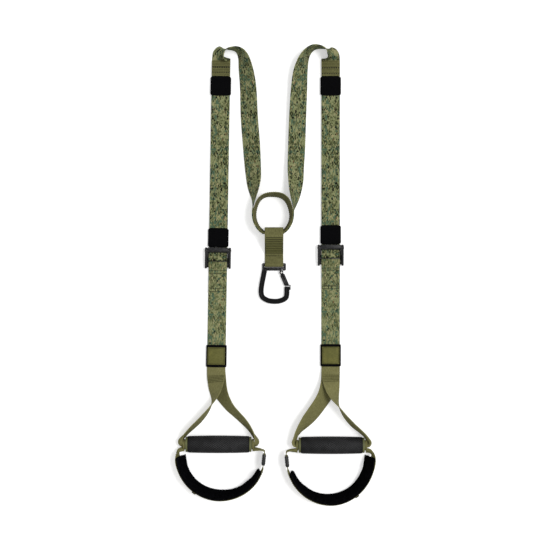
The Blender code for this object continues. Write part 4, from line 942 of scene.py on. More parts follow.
def lattice_tree():
    """Two families of screw lines on a barrel along X, which cross in diamonds."""
    tree, given, end = new_tree("grip_lattice", {"Length": 100 * MM, "End Radius": 16 * MM, "Swell": 1 * MM,
                                                 "Starts": 26, "Turns": 1.0, "Line": 0.4 * MM})
    both = node(tree, "GeometryNodeJoinGeometry")
    for reverse in (False, True):
        screw = node(tree, "GeometryNodeCurveSpiral",
                     {"Resolution": 36, "Rotations": given["Turns"], "Start Radius": 1.0, "End Radius": 1.0,
                      "Height": given["Length"], "Reverse": reverse})
        split = node(tree, "ShaderNodeSeparateXYZ", {0: node(tree, "GeometryNodeInputPosition").outputs[0]})
        share = maths(tree, "SUBTRACT", maths(tree, "DIVIDE", split.outputs[2], given["Length"]), 0.5)
        drop = maths(tree, "MULTIPLY", maths(tree, "MULTIPLY", share, share), 4.0)
        fuller = maths(tree, "MULTIPLY", maths(tree, "SUBTRACT", 1.0, drop), given["Swell"])
        radius = maths(tree, "ADD", given["End Radius"], fuller)
        spot = node(tree, "ShaderNodeCombineXYZ",
                    {0: maths(tree, "MULTIPLY", share, given["Length"]),
                     1: maths(tree, "MULTIPLY", split.outputs[0], radius),
                     2: maths(tree, "MULTIPLY", split.outputs[1], radius)})
        family = node(tree, "GeometryNodeSetPosition",
                      {"Geometry": screw.outputs[0], "Position": spot.outputs[0]})
        tree.links.new(family.outputs[0], both.inputs[0])
    starts = node(tree, "GeometryNodeMeshLine", {"Count": given["Starts"], "Offset": (0, 0, 0)})
    step = maths(tree, "DIVIDE", math.tau, given["Starts"])
    angle = maths(tree, "MULTIPLY", node(tree, "GeometryNodeInputIndex").outputs[0], step)
    turn = node(tree, "ShaderNodeCombineXYZ", {0: angle})
    copies = node(tree, "GeometryNodeInstanceOnPoints",
                  {"Points": starts.outputs[0], "Instance": both.outputs[0], "Rotation": turn.outputs[0]})
    real = node(tree, "GeometryNodeRealizeInstances", {"Geometry": copies.outputs[0]})
    return close_tree(tree, corded(tree, real.outputs[0], given["Line"], 4), given, end)


def pile_tree():
    """Leaning tufts all over the guide's faces."""
    tree, given, end = new_tree("pile", {"Density": 100.0, "Length": 2 * MM, "Width": 1 * MM, "Seed": 1})
    spots = node(tree, "GeometryNodeDistributePointsOnFaces",
                 {"Mesh": given["Geometry"], "Density": given["Density"], "Seed": given["Seed"]})
    tuft = node(tree, "GeometryNodeMeshCone", {"Vertices": 4, "Radius Top": 0.0,
                                               "Radius Bottom": given["Width"], "Depth": given["Length"]})
    lean = node(tree, "FunctionNodeRandomValue",
                {0: (-0.7, -0.7, -3), 1: (0.7, 0.7, 3), "Seed": given["Seed"]}, data_type="FLOAT_VECTOR")
    turn = node(tree, "FunctionNodeRotateRotation",
                {"Rotation": spots.outputs["Rotation"], "Rotate By": lean.outputs[0]}, rotation_space="LOCAL")
    size = node(tree, "FunctionNodeRandomValue", {2: 0.5, 3: 1.2, "Seed": given["Seed"]}, data_type="FLOAT")
    copies = node(tree, "GeometryNodeInstanceOnPoints",
                  {"Points": spots.outputs["Points"], "Instance": tuft.outputs[0],
                   "Rotation": turn.outputs[0], "Scale": size.outputs[1]})
    return close_tree(tree, copies.outputs[0], given, end)


def settled(context, made):
    """Turn an object's modifiers into its mesh."""
    context.view_layer.update()
    mesh = bpy.data.meshes.new_from_object(made.evaluated_get(context.evaluated_depsgraph_get()))
    made.modifiers.clear()
    old = made.data
    made.data = mesh
    bpy.data.meshes.remove(old)
    return mesh


def grown(context, name, guide, tree_maker, stuff_name, body, values):
    """Run a tree on a guide mesh and keep the result as a plain piece."""
    if tree_maker not in TREES:
        TREES[tree_maker] = tree_maker()
    tree = TREES[tree_maker]
    holder = bpy.data.objects.new(name + "_guide", guide)
    context.scene.collection.objects.link(holder)
    step = holder.modifiers.new("Nodes", "NODES")
    step.node_group = tree
    values = dict(values, Material=stuff(context, stuff_name))
    for item in tree.interface.items_tree:
        if item.in_out == "INPUT" and item.name in values:
            step[item.identifier] = values[item.name]
    mesh = settled(context, holder)
    bpy.data.objects.remove(holder, do_unlink=True)
    mesh.name = name
    return placed(context, name, mesh, stuff_name, body)


def guide_lines(name, lines):
    """A mesh of edges along each line of points."""
    mesh = bpy.data.meshes.new(name)
    places, edges = [], []
    for line in lines:
        first = len(places)
        places += [tuple(point) for point in line]
        edges += [(k, k + 1) for k in range(first, len(places) - 1)]
    mesh.from_pydata(places, edges, [])
    return mesh


def sewn(context, name, lines, body, stuff_name="bonded_thread", pitch=None):
    """Stitches along lines of points."""
    sizes = context.scene.trainer_stitching
    step = pitch or sizes.pitch
    values = {"Pitch": step, "Stitch": min(sizes.stitch, step * STITCH_SHARE), "Thread": sizes.thread}
    return grown(context, name, guide_lines(name, lines), stitch_tree, stuff_name, body, values)


def piped(context, name, lines, radius, stuff_name, body):
    """Cords along lines of points."""
    return grown(context, name, guide_lines(name, lines), piping_tree, stuff_name, body, {"Radius": radius})


def webbing_piece(context, name, rows, stuff_name, body, nodes, at=None, closed=False, blend=None,
                  width=WEB_WIDTH, thickness=WEB_THICKNESS, fold=0.0):
    work = bmesh.new()
    section = webbing_section(width, thickness, GATHERED_FLATS if fold else FLATS)
    sweep(work, rows, section, closed, fold)
    return finished(context, name, work, stuff_name, body, nodes, at, blend)


def across_strip(at, rows, alongs, shares, out):
    """Lines across the webbing at places along it, through shares of its half width."""
    return [[at @ on_strip(rows, along, share * WEB_WIDTH / 2, out) for share in shares] for along in alongs]


def along_strip(at, rows, alongs, reach, out):
    """Two lines along the webbing, at reach to each side of its middle."""
    return [[at @ on_strip(rows, along, side * reach, out) for along in alongs] for side in (-1, 1)]


def across_arm(at, half, places, height):
    """Lines straight across an arm at places along it."""
    return [[at @ Vector((side * half, place, height)) for side in (-1, 1)] for place in places]


def upper_side(rows, along):
    """1 where the webbing's outer side faces up, else -1."""
    return 1 if on_strip(rows, along, 0, WEB_THICKNESS).z > on_strip(rows, along, 0, 0).z else -1


# Equalizer, anchor loop and main straps

def ring_point(angle, out=0.0):
    """A point on the ring's centre line, or out from it."""
    return (RING_X + (RING_HALF_WIDTH + out) * math.cos(angle),
            RING_Y + (RING_HALF_HEIGHT + out) * math.sin(angle))


def equalizer(context):
    points = []
    for k in range(RING_POINTS):
        angle = math.tau * k / RING_POINTS
        # The ring lies a little slack: flatter over its top, leaning further out there and on its right
        lean = RING_LEAN * (1 + RING_SIDE_LEAN * max(0.0, math.cos(angle - RING_SIDE)) ** 2)
        slack = RING_SLACK * math.cos(RING_WAVES * angle) * max(0.0, math.sin(angle))
        x, y = ring_point(angle, -slack)
        points.append((x, y, LIFT + edge_height(lean), lean, 1))
    rows = tilted_rows(points, True)
    webbing_piece(context, "equalizer_webbing", rows, "olive_nylon_webbing", "webbing", ["equalizer_loop"],
                  closed=True)
    proud = WEB_THICKNESS / 2
    lines = []
    for edge in (-1, 1):
        for face in (-1, 1):
            lines.append([centre + across * (WEB_WIDTH / 2 - EDGE_INSET) * edge + out * proud * face
                          for centre, across, out, _ in rows + rows[:1]])
    sewn(context, "equalizer_stitching", lines, "webbing", "olive_thread")


def eye_bar_height():
    return EYE_BAR_RADIUS + GAP + WEB_THICKNESS


def anchor_path():
    """The anchor loop in a plane along Y and up, from under the eye bar round the ring and back."""
    turn = EYE_BAR_RADIUS + GAP + WEB_THICKNESS / 2
    bar_y, bar_z = CARABINER_Y, eye_bar_height()
    ring_low = RING_Y - RING_HALF_HEIGHT
    lean_room = WEB_WIDTH * math.sin(RING_LEAN)
    outer_y = ring_low - LAYER * 2 - lean_room / 2 - ANCHOR_EYE_GAP
    chord = (WEB_WIDTH / 2 + abs(RING_X - CARABINER_X)) / RING_HALF_WIDTH
    inner_y = ring_low + RING_HALF_HEIGHT * (1 - math.sqrt(1 - chord ** 2)) + lean_room / 2 + LAYER
    top = LIFT + WEB_WIDTH + GAP * 2 + WEB_THICKNESS / 2
    low = WEB_THICKNESS / 2
    radius = LAYER
    stitch_y = bar_y + (outer_y - bar_y) * ANCHOR_STITCH_SHARE
    path = arc((bar_y, bar_z), turn, FLAT * 0.4, 3 * FLAT, 18)
    path += [(stitch_y, low), (outer_y, low)]
    path += arc((inner_y + LAYER - radius, low + radius), radius, 3 * FLAT, 4 * FLAT, 6)
    path += arc((inner_y + LAYER - radius * 2, top - radius * 2), radius * 2, 0, FLAT, 8)
    path += arc((outer_y + radius * 2, top - radius * 2), radius * 2, FLAT, FLAT * 1.5, 6)
    path += [(stitch_y + WEB_WIDTH / 4, low + LAYER + WEB_WIDTH / 16), (stitch_y, low + LAYER)]
    return path


def anchor(context):
    """Anchor loop with its block of bar tacks and piped selvedges."""
    at = Matrix.Translation((CARABINER_X, 0, 0))
    path = anchor_path()
    closing = filled([path[-1], path[0]], ROW_STEP / 2)[1:-1]
    rows = band_rows(filled(path, ROW_STEP / 2) + closing, True)
    webbing_piece(context, "anchor_webbing", rows, "olive_nylon_webbing", "webbing", ["anchor_loop"], at,
                  True)
    rows = band_rows(filled(path, ROW_STEP / 2))
    travelled = running(rows)
    end = travelled[-1]
    low, high = ANCHOR_BLOCK
    face = upper_side(rows, end - (low + high) / 3)
    block = [(centre + out * (WEB_THICKNESS / 2 * face), across, out, 1)
             for (centre, across, out, _), run in zip(rows, travelled) if low < end - run < high]
    webbing_piece(context, "anchor_sewn_layer", block, "olive_thread", "webbing", [], at,
                  width=WEB_WIDTH * SEWN_LAYER_SHARE, thickness=SEWN_LAYER)
    proud = (WEB_THICKNESS / 2 + TACK_LIFT) * face
    alongs = [end - TACK_START - k * TACK_STEP for k in range(TACKS)]
    tacks = across_strip(at, rows, alongs, (-0.86, -0.3, 0.3, 0.86), proud)
    piped(context, "anchor_bar_tacks", tacks, 0.95 * MM, "tack_thread", "webbing")
    seam = across_strip(at, rows, [end - 3 * MM], (-0.8, 0, 0.8), proud)
    sewn(context, "anchor_seam", seam, "webbing", "bonded_thread", 2.8 * MM)
    alongs = [end - low - 1 * MM - k * 2 * MM for k in range(18)]
    edges = along_strip(at, rows, alongs, WEB_WIDTH / 2 - 1.6 * MM, proud)
    piped(context, "anchor_selvedge_cords", edges, 0.7 * MM, "olive_thread", "webbing")


def bend_top(arm):
    """Where an arm's top bend reaches: the arm's line, carried on above the tab."""
    length = arm["run"] + arm["bend_rise"]
    return (arm["x"] + math.sin(-arm["tilt"]) * length, arm["y"] + math.cos(arm["tilt"]) * length)


def main_strap_rows(name, arm):
    """From the ring's lower arc, up the inner strand, over the bend on edge and flat under the tab."""
    side = arm["side"]
    top_x, top_y = bend_top(arm)
    stations = []
    begin = -FLAT + side * FLAT * 0.3
    leave = 0.0 if side > 0 else -2 * FLAT
    for k in range(5):
        x, y = ring_point(begin + (leave - begin) * k / 4 * 0.94, LAYER + GAP)
        stations.append((x, y, LIFT, RING_LEAN, 1))
    for out_share, up_share, lean_share in STRAND_SHARES[name]:
        x = RING_X + (top_x - RING_X) * out_share
        y = RING_Y + (top_y - RING_Y) * up_share
        stations.append((x, y, LIFT * (1 - up_share), -lean_share * FLAT, 1))
    for lap in (-BEND_LAP / 4, BEND_LAP / 4, BEND_LAP):
        stations.append((*arm_point(arm, 0, arm["run"] - lap), 0, FLAT, 1))
    return tilted_rows([(x, y, lift + edge_height(tilt), tilt * side, 1)
                        for x, y, lift, tilt, _ in smooth(stations)])


def turn_bar_height():
    return LOW_LEVEL + TURN_BAR_RADIUS + GAP + WEB_THICKNESS / 2


def lower_bar_height():
    return LOW_LEVEL + LOWER_BAR_RADIUS + GAP + WEB_THICKNESS / 2


def cam_height():
    return HIGH_LEVEL + WEB_THICKNESS / 2 + GAP + CAM_RADIUS + CAM_TOOTH


def main_straps(context):
    """Patterned webbing from the ring to the buckle, through it and back up to the tab."""
    for name, arm in ARMS.items():
        at = arm_matrix(arm)
        top, butt = arm["run"], GAP / 2
        webbing_piece(context, name + "_strand_webbing", main_strap_rows(name, arm), "jacquard_webbing",
                      "webbing", [name + "_main_strap"])
        start = top - BEND_LAP - GAP
        path = [(start, WEB_THICKNESS / 2), (top - TAB_UNDERLAP - GAP, WEB_THICKNESS / 2),
                (top - TAB_LENGTH + GAP, LOW_LEVEL), (butt, LOW_LEVEL)]
        ends = (at @ Vector((0, top - TAB_LENGTH, 0)), at @ Vector((0, KEEPER_LENGTH / 2, 0)))
        webbing_piece(context, name + "_run_webbing", band_rows(filled(path)), "jacquard_webbing", "webbing",
                      [name + "_main_run"], at, blend=(*ends, name + "_arm"))
        path = [(top - WEB_THICKNESS * 3, HIGH_LEVEL), (butt, HIGH_LEVEL)]
        ends = (at @ Vector((0, KEEPER_LENGTH / 2, 0)), at @ Vector((0, top - TAB_LENGTH * 2, 0)))
        webbing_piece(context, name + "_return_webbing", band_rows(filled(path)), "jacquard_webbing",
                      name + "_arm", [name + "_return_run"], at, blend=(*ends, name + "_tab"))
        radius = TURN_BAR_RADIUS + GAP + WEB_THICKNESS / 2
        turn = arc((-TURN_BAR_DROP, turn_bar_height()), radius, 3 * FLAT, FLAT - STRAP_SLOPE, 16)
        along, up = turn[-1]
        level = along + (up - HIGH_LEVEL) / math.tan(STRAP_SLOPE)
        path = [(-butt, LOW_LEVEL)] + turn + [(level, HIGH_LEVEL), (-butt, HIGH_LEVEL)]
        webbing_piece(context, name + "_turn_webbing", band_rows(filled(path)), "jacquard_webbing",
                      name + "_arm", [name + "_buckle_turn"], at)


def adjust_tabs(context):
    """Olive webbing folded over the strap's end, with its two seams."""
    for name, arm in ARMS.items():
        at = arm_matrix(arm)
        body = name + "_tab"
        # It butts on the return layer's end and stays over the lower layer, which slides free beneath it
        top, low, high = arm["run"], HIGH_LEVEL, HIGH_LEVEL + LAYER
        radius = (high - low) / 2
        path = [(top - WEB_THICKNESS * 3 + GAP, low), (top - radius * 1.5, low)]
        path += arc((top - radius, low + radius), radius, -FLAT, FLAT, 13)
        path += [(top - radius * 1.5, high), (top - TAB_LENGTH, high)]
        webbing_piece(context, name + "_tab_webbing", band_rows(filled(path, ROW_STEP / 2)),
                      "olive_nylon_webbing", body, [name + "_adjust_tab"], at)
        sizes = SEWING[name]
        half, proud = WEB_WIDTH / 2 - EDGE_INSET, high + WEB_THICKNESS / 2 + THREAD_LIFT
        seams = across_arm(at, half, [top - drop for drop in (*sizes["tab_rows"], sizes["tab_seam"])], proud)
        sewn(context, name + "_tab_stitching", seams, body)
        places = [top - TAB_RIB_START - k * TAB_RIB_STEP for k in range(TAB_RIBS)]
        piped(context, name + "_tab_ribs", across_arm(at, half, places, proud - TAB_RIB_SINK), TAB_RIB,
              "olive_thread", body)


def band_loop(inner_width, inner_height, wall, middle, length, tuck):
    """Rows round a strap along Y; a share of the band's length tucks in at its sides."""
    half_w, half_h = (inner_width + wall) / 2, (inner_height + wall) / 2
    path = []
    for quarter, (x, z) in enumerate(((1, 1), (-1, 1), (-1, -1), (1, -1))):
        centre = (x * (half_w - wall), z * (half_h - wall))
        path += arc(centre, wall, quarter * FLAT, (quarter + 1) * FLAT, 6)
    path.append(path[0])
    path = filled(path, 2 * MM)[:-1]
    rows = []
    corner = length * BAND_CORNER_SHARE
    for k, (x, z) in enumerate(path):
        before, after = Vector(path[k - 1]), Vector(path[(k + 1) % len(path)])
        along = (after - before).normalized()
        over = max(0.0, abs(x) - (half_w - corner)) / corner
        width = 1 - tuck * (1 - math.sqrt(max(0.0, 1 - over * over)))
        out = Vector((along.y, 0, -along.x))
        rows.append((middle + Vector((x, 0, z)), Vector((0, width, 0)), out, 1))
    return rows


def sleeve_rows(length, up, tuck):
    low = LOW_LEVEL - WEB_THICKNESS / 2 - GAP
    high = HIGH_LEVEL + WEB_THICKNESS / 2 + GAP
    middle = Vector((0, up - length / 2, (low + high) / 2))
    return band_loop(WEB_WIDTH + GAP * 2, high - low, WEB_THICKNESS, middle, length, tuck)


def keepers(context):
    """Elastic bands round both layers, with a rib knitted in every few millimetres."""
    for name, arm in ARMS.items():
        at = arm_matrix(arm)
        for which, body, up in (("upper", "_tab", arm["run"] - TAB_LENGTH - GAP * 2),
                                ("lower", "_band", KEEPER_LENGTH + GAP)):
            rows = sleeve_rows(KEEPER_LENGTH, up, KEEPER_TUCK_SHARE)
            webbing_piece(context, f"{name}_{which}_keeper_elastic", rows, "knitted_elastic", name + body,
                          [f"{name}_{which}_keeper"], at, True, width=KEEPER_LENGTH)
            proud = WEB_THICKNESS / 2 - THREAD_LIFT
            lines = [[at @ (centre + across * (k * KEEPER_RIB_STEP) + out * proud)
                      for centre, across, out, _ in rows + rows[:1]] for k in range(-7, 8)]
            piped(context, f"{name}_{which}_keeper_ribs", lines, KEEPER_RIB, "knitted_elastic", name + body)


def labels(context):
    """Black sleeve with a bare woven panel sewn on it."""
    for name, arm in ARMS.items():
        at = arm_matrix(arm)
        rows = sleeve_rows(LABEL_LENGTH, -arm["lower"], LABEL_TUCK_SHARE)
        webbing_piece(context, name + "_sleeve_cloth", rows, "knitted_elastic", name + "_arm",
                      [name + "_label_sleeve"], at, True, width=LABEL_LENGTH)
        bottom = HIGH_LEVEL + WEB_THICKNESS * 1.5 + GAP * 2
        middle = -arm["lower"] - LABEL_LENGTH / 2
        half = PATCH_SIDE / 2
        work = bmesh.new()
        box_shell(work, (-half, middle - half, bottom - GAP), (half, middle + half, bottom + PATCH_THICKNESS),
                  PATCH_ROUNDING)
        finished(context, name + "_label_panel", work, "label_satin", name + "_arm",
                 [name + "_label_patch"], at)
        inset, top = half - PATCH_SEAM_INSET, bottom + PATCH_THICKNESS
        corners = [(-inset, -inset), (inset, -inset), (inset, inset), (-inset, inset), (-inset, -inset)]
        square = [[at @ Vector((x, middle + y, top)) for x, y in corners]]
        sewn(context, name + "_label_stitching", square, name + "_arm", "olive_thread", PATCH_PITCH)


def lower_straps(context):
    """Patterned webbing round the buckle's lower bar, sewn back on itself with a box and a cross."""
    for name, arm in ARMS.items():
        at = arm_matrix(arm)
        radius = LOWER_BAR_RADIUS + GAP + WEB_THICKNESS / 2
        turn = arc((-LOWER_BAR_DROP, lower_bar_height()), radius, FLAT + STRAP_SLOPE, -FLAT, 16)
        along, up = turn[0]
        level = along - (up - HIGH_LEVEL) / math.tan(STRAP_SLOPE)
        end = -arm["lower"] - LABEL_LENGTH * 0.4
        path = [(-SEWN_LENGTH, HIGH_LEVEL), (level, HIGH_LEVEL)] + turn + [(end, LOW_LEVEL)]
        webbing_piece(context, name + "_lower_webbing", band_rows(filled(path)), "jacquard_reverse",
                      name + "_arm", [name + "_lower_strap"], at)
        sizes = SEWING[name]
        wide, box = WEB_WIDTH / 2 - EDGE_INSET, WEB_WIDTH / 2 - BOX_INSET
        proud = HIGH_LEVEL + WEB_THICKNESS / 2 + THREAD_LIFT
        top, low = -sizes["box_top"], -sizes["box_low"]
        flat = [[(-box, top), (box, top), (box, low), (-box, low), (-box, top)], [(-box, top), (box, low)],
                [(box, top), (-box, low)]]
        lines = [[at @ Vector((x, y, proud)) for x, y in line] for line in flat]
        drops = (sizes["first_row"], *sizes["last_rows"])
        lines += across_arm(at, wide, [-drop for drop in drops], proud)
        sewn(context, name + "_lower_stitching", lines, name + "_arm", pitch=BOX_PITCH)


# Handle straps, grips and foot cradles

def handle_place(arm):
    """World place of the middle of the grip's axis."""
    x, y = arm_point(arm, -arm["shift"], -arm["lower"] - arm["drop"])
    return Vector((x, y, GRIP_AXIS_HEIGHT))


def cap_reach():
    return GRIP_LENGTH / 2 + GAP + CAP_THICKNESS


def eye_middle():
    return cap_reach() + GAP + EYE_WIDTH / 2


def handle_rows(name, arm):
    """One strap: out of the label, down to the grip's outer end, through the grip and back up."""
    side = arm["side"]
    gx, gy, gz = handle_place(arm)
    span = eye_middle() + EYE_WIDTH / 2 + HANDLE_TURN
    fall = arm["drop"] - LABEL_LENGTH

    def in_label(share, level, tilt):
        x, y = arm_point(arm, 0, -arm["lower"] - LABEL_LENGTH * share)
        return ((x - gx) * side, y - gy, level - gz, tilt, 1)

    def leg(rows, over):
        out = []
        for out_share, up_share, lean_share, bunch in rows:
            tilt = lean_share * FLAT
            width = WEB_WIDTH * bunch
            rest = edge_height(tilt, width, WEB_THICKNESS * bunch)
            lift = LIFT + over * min(1.0, max(0.0, (up_share - OVERLAP_SHARE) / (1 - OVERLAP_SHARE) * 2))
            free = lift + rest - gz
            z = free * min(1.0, (bunch - BUNCHED_SHARE) / (1 - BUNCHED_SHARE))
            out.append((out_share * span, up_share * fall, z, tilt, bunch))
        return out

    stations = [in_label(share, HIGH_LEVEL, FLAT) for share in LABEL_SHARES]
    stations += leg(FRONT_LEG_SHARES[name], LAYER + GAP * 2)
    bunched, turn = BUNCHED_SHARE, HANDLE_TURN
    inside = eye_middle() + EYE_WIDTH / 2
    corner = [(inside + turn, turn * 1.2), (inside + turn * 0.6, turn * 0.25), (inside - turn * 0.4, 0)]
    stations += [(x, y, 0, 0, bunched) for x, y in corner]
    stations += [(share * GRIP_LENGTH / 2, 0, 0, 0, bunched) for share in (0.8, 0.3, -0.3, -0.8)]
    stations += [(-x, y, 0, 0, bunched) for x, y in reversed(corner)]
    stations += leg(BACK_LEG_SHARES[name], 0.0)
    stations += [in_label(share, LOW_LEVEL, -FLAT) for share in reversed(LABEL_SHARES)]
    return tilted_rows([(x * side, y, z, tilt * side, bunch) for x, y, z, tilt, bunch in smooth(stations)])


def handle_straps(context):
    """Olive webbing in a loop through the grip, with bar tacks where it comes out of the label."""
    for name, arm in ARMS.items():
        at = Matrix.Translation(handle_place(arm))
        rows = handle_rows(name, arm)
        webbing_piece(context, name + "_handle_webbing", rows, "handle_nylon_webbing", name + "_arm",
                      [name + "_handle_strap"], at, fold=GATHER)
        probe = LABEL_LENGTH * 0.62
        out = (WEB_THICKNESS / 2 + THREAD_LIFT) * upper_side(rows, probe)
        edge = 1 - EDGE_INSET / (WEB_WIDTH / 2)
        alongs = [probe + HANDLE_TACK_START + k * HANDLE_TACK_STEP for k in range(HANDLE_TACKS)]
        lines = across_strip(at, rows, alongs, (-edge, -0.4 * edge, 0.4 * edge, edge), out)
        sewn(context, name + "_handle_bar_tacks", lines, name + "_arm", "olive_thread", FINE_PITCH)


def grips(context):
    """Rubber sleeve with a raised diamond lattice, and an olive ring at each end."""
    sizes = context.scene.trainer_grip
    for name, arm in ARMS.items():
        at = Matrix.Translation(handle_place(arm))
        half = GRIP_LENGTH / 2
        inner = TUBE_RADIUS + GAP
        shares = [2 * k / GRIP_STEPS - 1 for k in range(1, GRIP_STEPS)]
        barrel = [(half * x, GRIP_END_RADIUS + GRIP_SWELL * (1 - x * x)) for x in shares]
        bevel = GRIP_ROUNDING * 0.3
        lip = [(half - bevel, GRIP_END_RADIUS - bevel), (half, GRIP_END_RADIUS - GRIP_ROUNDING)]
        profile = [(half, inner), (-half, inner)] + [(-x, r) for x, r in reversed(lip)] + barrel + lip
        work = bmesh.new()
        turned_shell(work, profile, ring=True, turns=96)
        finished(context, name + "_grip_rubber", work, "moulded_rubber", name + "_grip",
                 [name + "_grip_sleeve"], at)
        values = {"Length": GRIP_LENGTH - LATTICE_MARGIN * 2, "End Radius": GRIP_END_RADIUS,
                  "Swell": GRIP_SWELL, "Starts": sizes.starts, "Turns": sizes.turns, "Line": sizes.line}
        # The lattice takes paler rubber, as painted highlight on its raised lines
        made = grown(context, name + "_grip_lattice", guide_lines("lattice", [[(0, 0, 0)]]), lattice_tree,
                     "lattice_highlight_rubber", name + "_grip", values)
        made.data.transform(at)
        start, end = half + GAP, cap_reach()
        seat = end - CAP_THICKNESS / 2 + GAP
        bore = WEB_WIDTH * BUNCHED_SHARE / 2 + RUN_CLEARANCE
        edge = CAP_THICKNESS / 4
        rim = arc((end - edge, CAP_RADIUS - edge), edge, 0, FLAT, 5)
        profile = [(start, inner), (seat, inner), (seat, bore), (end, bore)] + rim
        profile += [(start + RING_GROOVE * step, CAP_RADIUS - RING_GROOVE * deep)
                    for step, deep in ((3.5, 0), (2.75, 1), (1.75, 1), (1, 0), (0, 0))]
        for end_name, side in (("outer", 1), ("inner", -1)):
            work = bmesh.new()
            turned_shell(work, [(side * x * arm["side"], r) for x, r in profile], ring=True, turns=72)
            finished(context, f"{name}_grip_ring_{end_name}", work, "olive_moulded_nylon", name + "_grip",
                     [f"{name}_grip_cap_{end_name}"], at)


def foot_arc(name, arm, share, out=0.0):
    """A point of the cradle's arc under the grip, from its outer end to its inner end, and its lean."""
    angle = FOOT_START + (FOOT_END - FOOT_START) * share
    first, middle, last = LEAN_SHARES[name]
    if share < 0.5:
        lean = first + (middle - first) * share * 2
    else:
        lean = middle + (last - middle) * (share * 2 - 1)
    tilt = lean * FLAT
    reach = out / math.cos(tilt)
    x = -arm["foot_shift"] + (eye_middle() + FOOT_FLARE + reach) * math.cos(angle)
    y = -arm["foot_back"] + (arm["foot_drop"] + reach) * math.sin(angle)
    return (x, y, tilt)


def pad_rise(name):
    """Height of the cradle's middle line over the grip's axis, with the pad's lower edge on the table."""
    return edge_height(LEAN_SHARES[name][1] * FLAT, PAD_WIDTH, PAD_THICKNESS) + GAP - GRIP_AXIS_HEIGHT


def strap_out():
    """From the pad's middle line out to the foot strap's."""
    return PAD_THICKNESS / 2 + GAP * 3 + WEB_THICKNESS / 2


def straight_run(name, arm, share):
    """A point of the strap's straight run at the inner side, where the slider sits, from its lower end."""
    x, y, _ = foot_arc(name, arm, 1.0, strap_out())
    along = STRAIGHT_START + STRAIGHT_RUN * share
    return (x - along * math.sin(STRAIGHT_LEAN), y + along * math.cos(STRAIGHT_LEAN))


def pad_section():
    """Cross-section of the padded band: crowned on the foot's side, drawn in at its edges."""
    half_w, half_t = PAD_WIDTH / 2, PAD_THICKNESS / 2 * PAD_START_THICKNESS_SHARE
    edge = half_t * PAD_EDGE_SHARE
    outline = [(-half_t, -half_w * 0.5), (-half_t * 0.95, 0), (-half_t, half_w * 0.5),
               (-half_t * 0.8, half_w * 0.85), (-edge * 0.4, half_w), (edge, half_w * 0.93),
               (half_t * 0.86, half_w * 0.6), (half_t, 0), (half_t * 0.86, -half_w * 0.6),
               (edge, -half_w * 0.93), (-edge * 0.4, -half_w), (-half_t * 0.8, -half_w * 0.85)]
    return [(y, x) for x, y in outline]


def plumped(context, made):
    """Swell a closed mesh as cloth under pressure, each point by no more than the pad's swell."""
    sizes = context.scene.trainer_pad
    remesh = made.modifiers.new("Voxels", "REMESH")
    remesh.mode = "VOXEL"
    remesh.voxel_size = sizes.voxel
    mesh = settled(context, made)
    rest = [vert.co.copy() for vert in mesh.vertices]
    cloth = made.modifiers.new("Cloth", "CLOTH")
    cloth.settings.use_pressure = True
    cloth.settings.uniform_pressure_force = sizes.pressure
    cloth.settings.effector_weights.gravity = 0
    cloth.settings.quality = CLOTH_QUALITY
    for step in range(1, CLOTH_FRAMES + 1):
        context.scene.frame_set(step)
    seen = made.evaluated_get(context.evaluated_depsgraph_get()).data
    moved = [vert.co.copy() for vert in seen.vertices]
    made.modifiers.clear()
    context.scene.frame_set(1)
    for vert, start, end in zip(mesh.vertices, rest, moved):
        shift = end - start
        vert.co = start + shift * min(1.0, sizes.swell / max(shift.length, GAP / 1000))
    subdivision = made.modifiers.new("Subdivision", "SUBSURF")
    subdivision.levels = 1
    subdivision.render_levels = 1
    settled(context, made)


def foot_pads(context):
    """Fleece-lined pads, swollen as cloth, with their pile."""
    sizes = context.scene.trainer_pad
    for name, arm in ARMS.items():
        at = Matrix.Translation(handle_place(arm))
        side = arm["side"]
        shares = [k / (FOOT_STATIONS - 1) for k in range(1, FOOT_STATIONS - 1)]
        places = [foot_arc(name, arm, share) for share in (PAD_START_SHARE, *shares, PAD_END_SHARE)]
        points = smooth([(x * side, y, pad_rise(name), -tilt * side, 1) for x, y, tilt in places])
        rows = tilted_rows(points)
        inward = 1 if rows[len(rows) // 2][2].y > 0 else -1
        work = bmesh.new()
        sweep(work, rows, [(u, -n * inward) for u, n in pad_section()])
        body = name + "_foot"
        pad = finished(context, name + "_foot_padding", work, "fleece_pile", body, [name + "_foot_pad"], at)
        plumped(context, pad)
        pad.data.shade_smooth()
        pad.data.materials.clear()
        pad.data.materials.append(stuff(context, "fleece_pile"))
        values = {"Density": sizes.tufts * 10000.0, "Length": sizes.pile,
                  "Width": sizes.pile * TUFT_WIDTH_SHARE, "Seed": PILE_SEEDS[name]}
        grown(context, name + "_foot_pile", pad.data.copy(), pile_tree, "fleece_pile", body, values)
        half = PAD_WIDTH / 2
        lines = [[at @ (centre + across * half * edge) for centre, across, _, _ in rows] for edge in (-1, 1)]
        piped(context, name + "_foot_binding", lines, PAD_BINDING, "knitted_elastic", body)


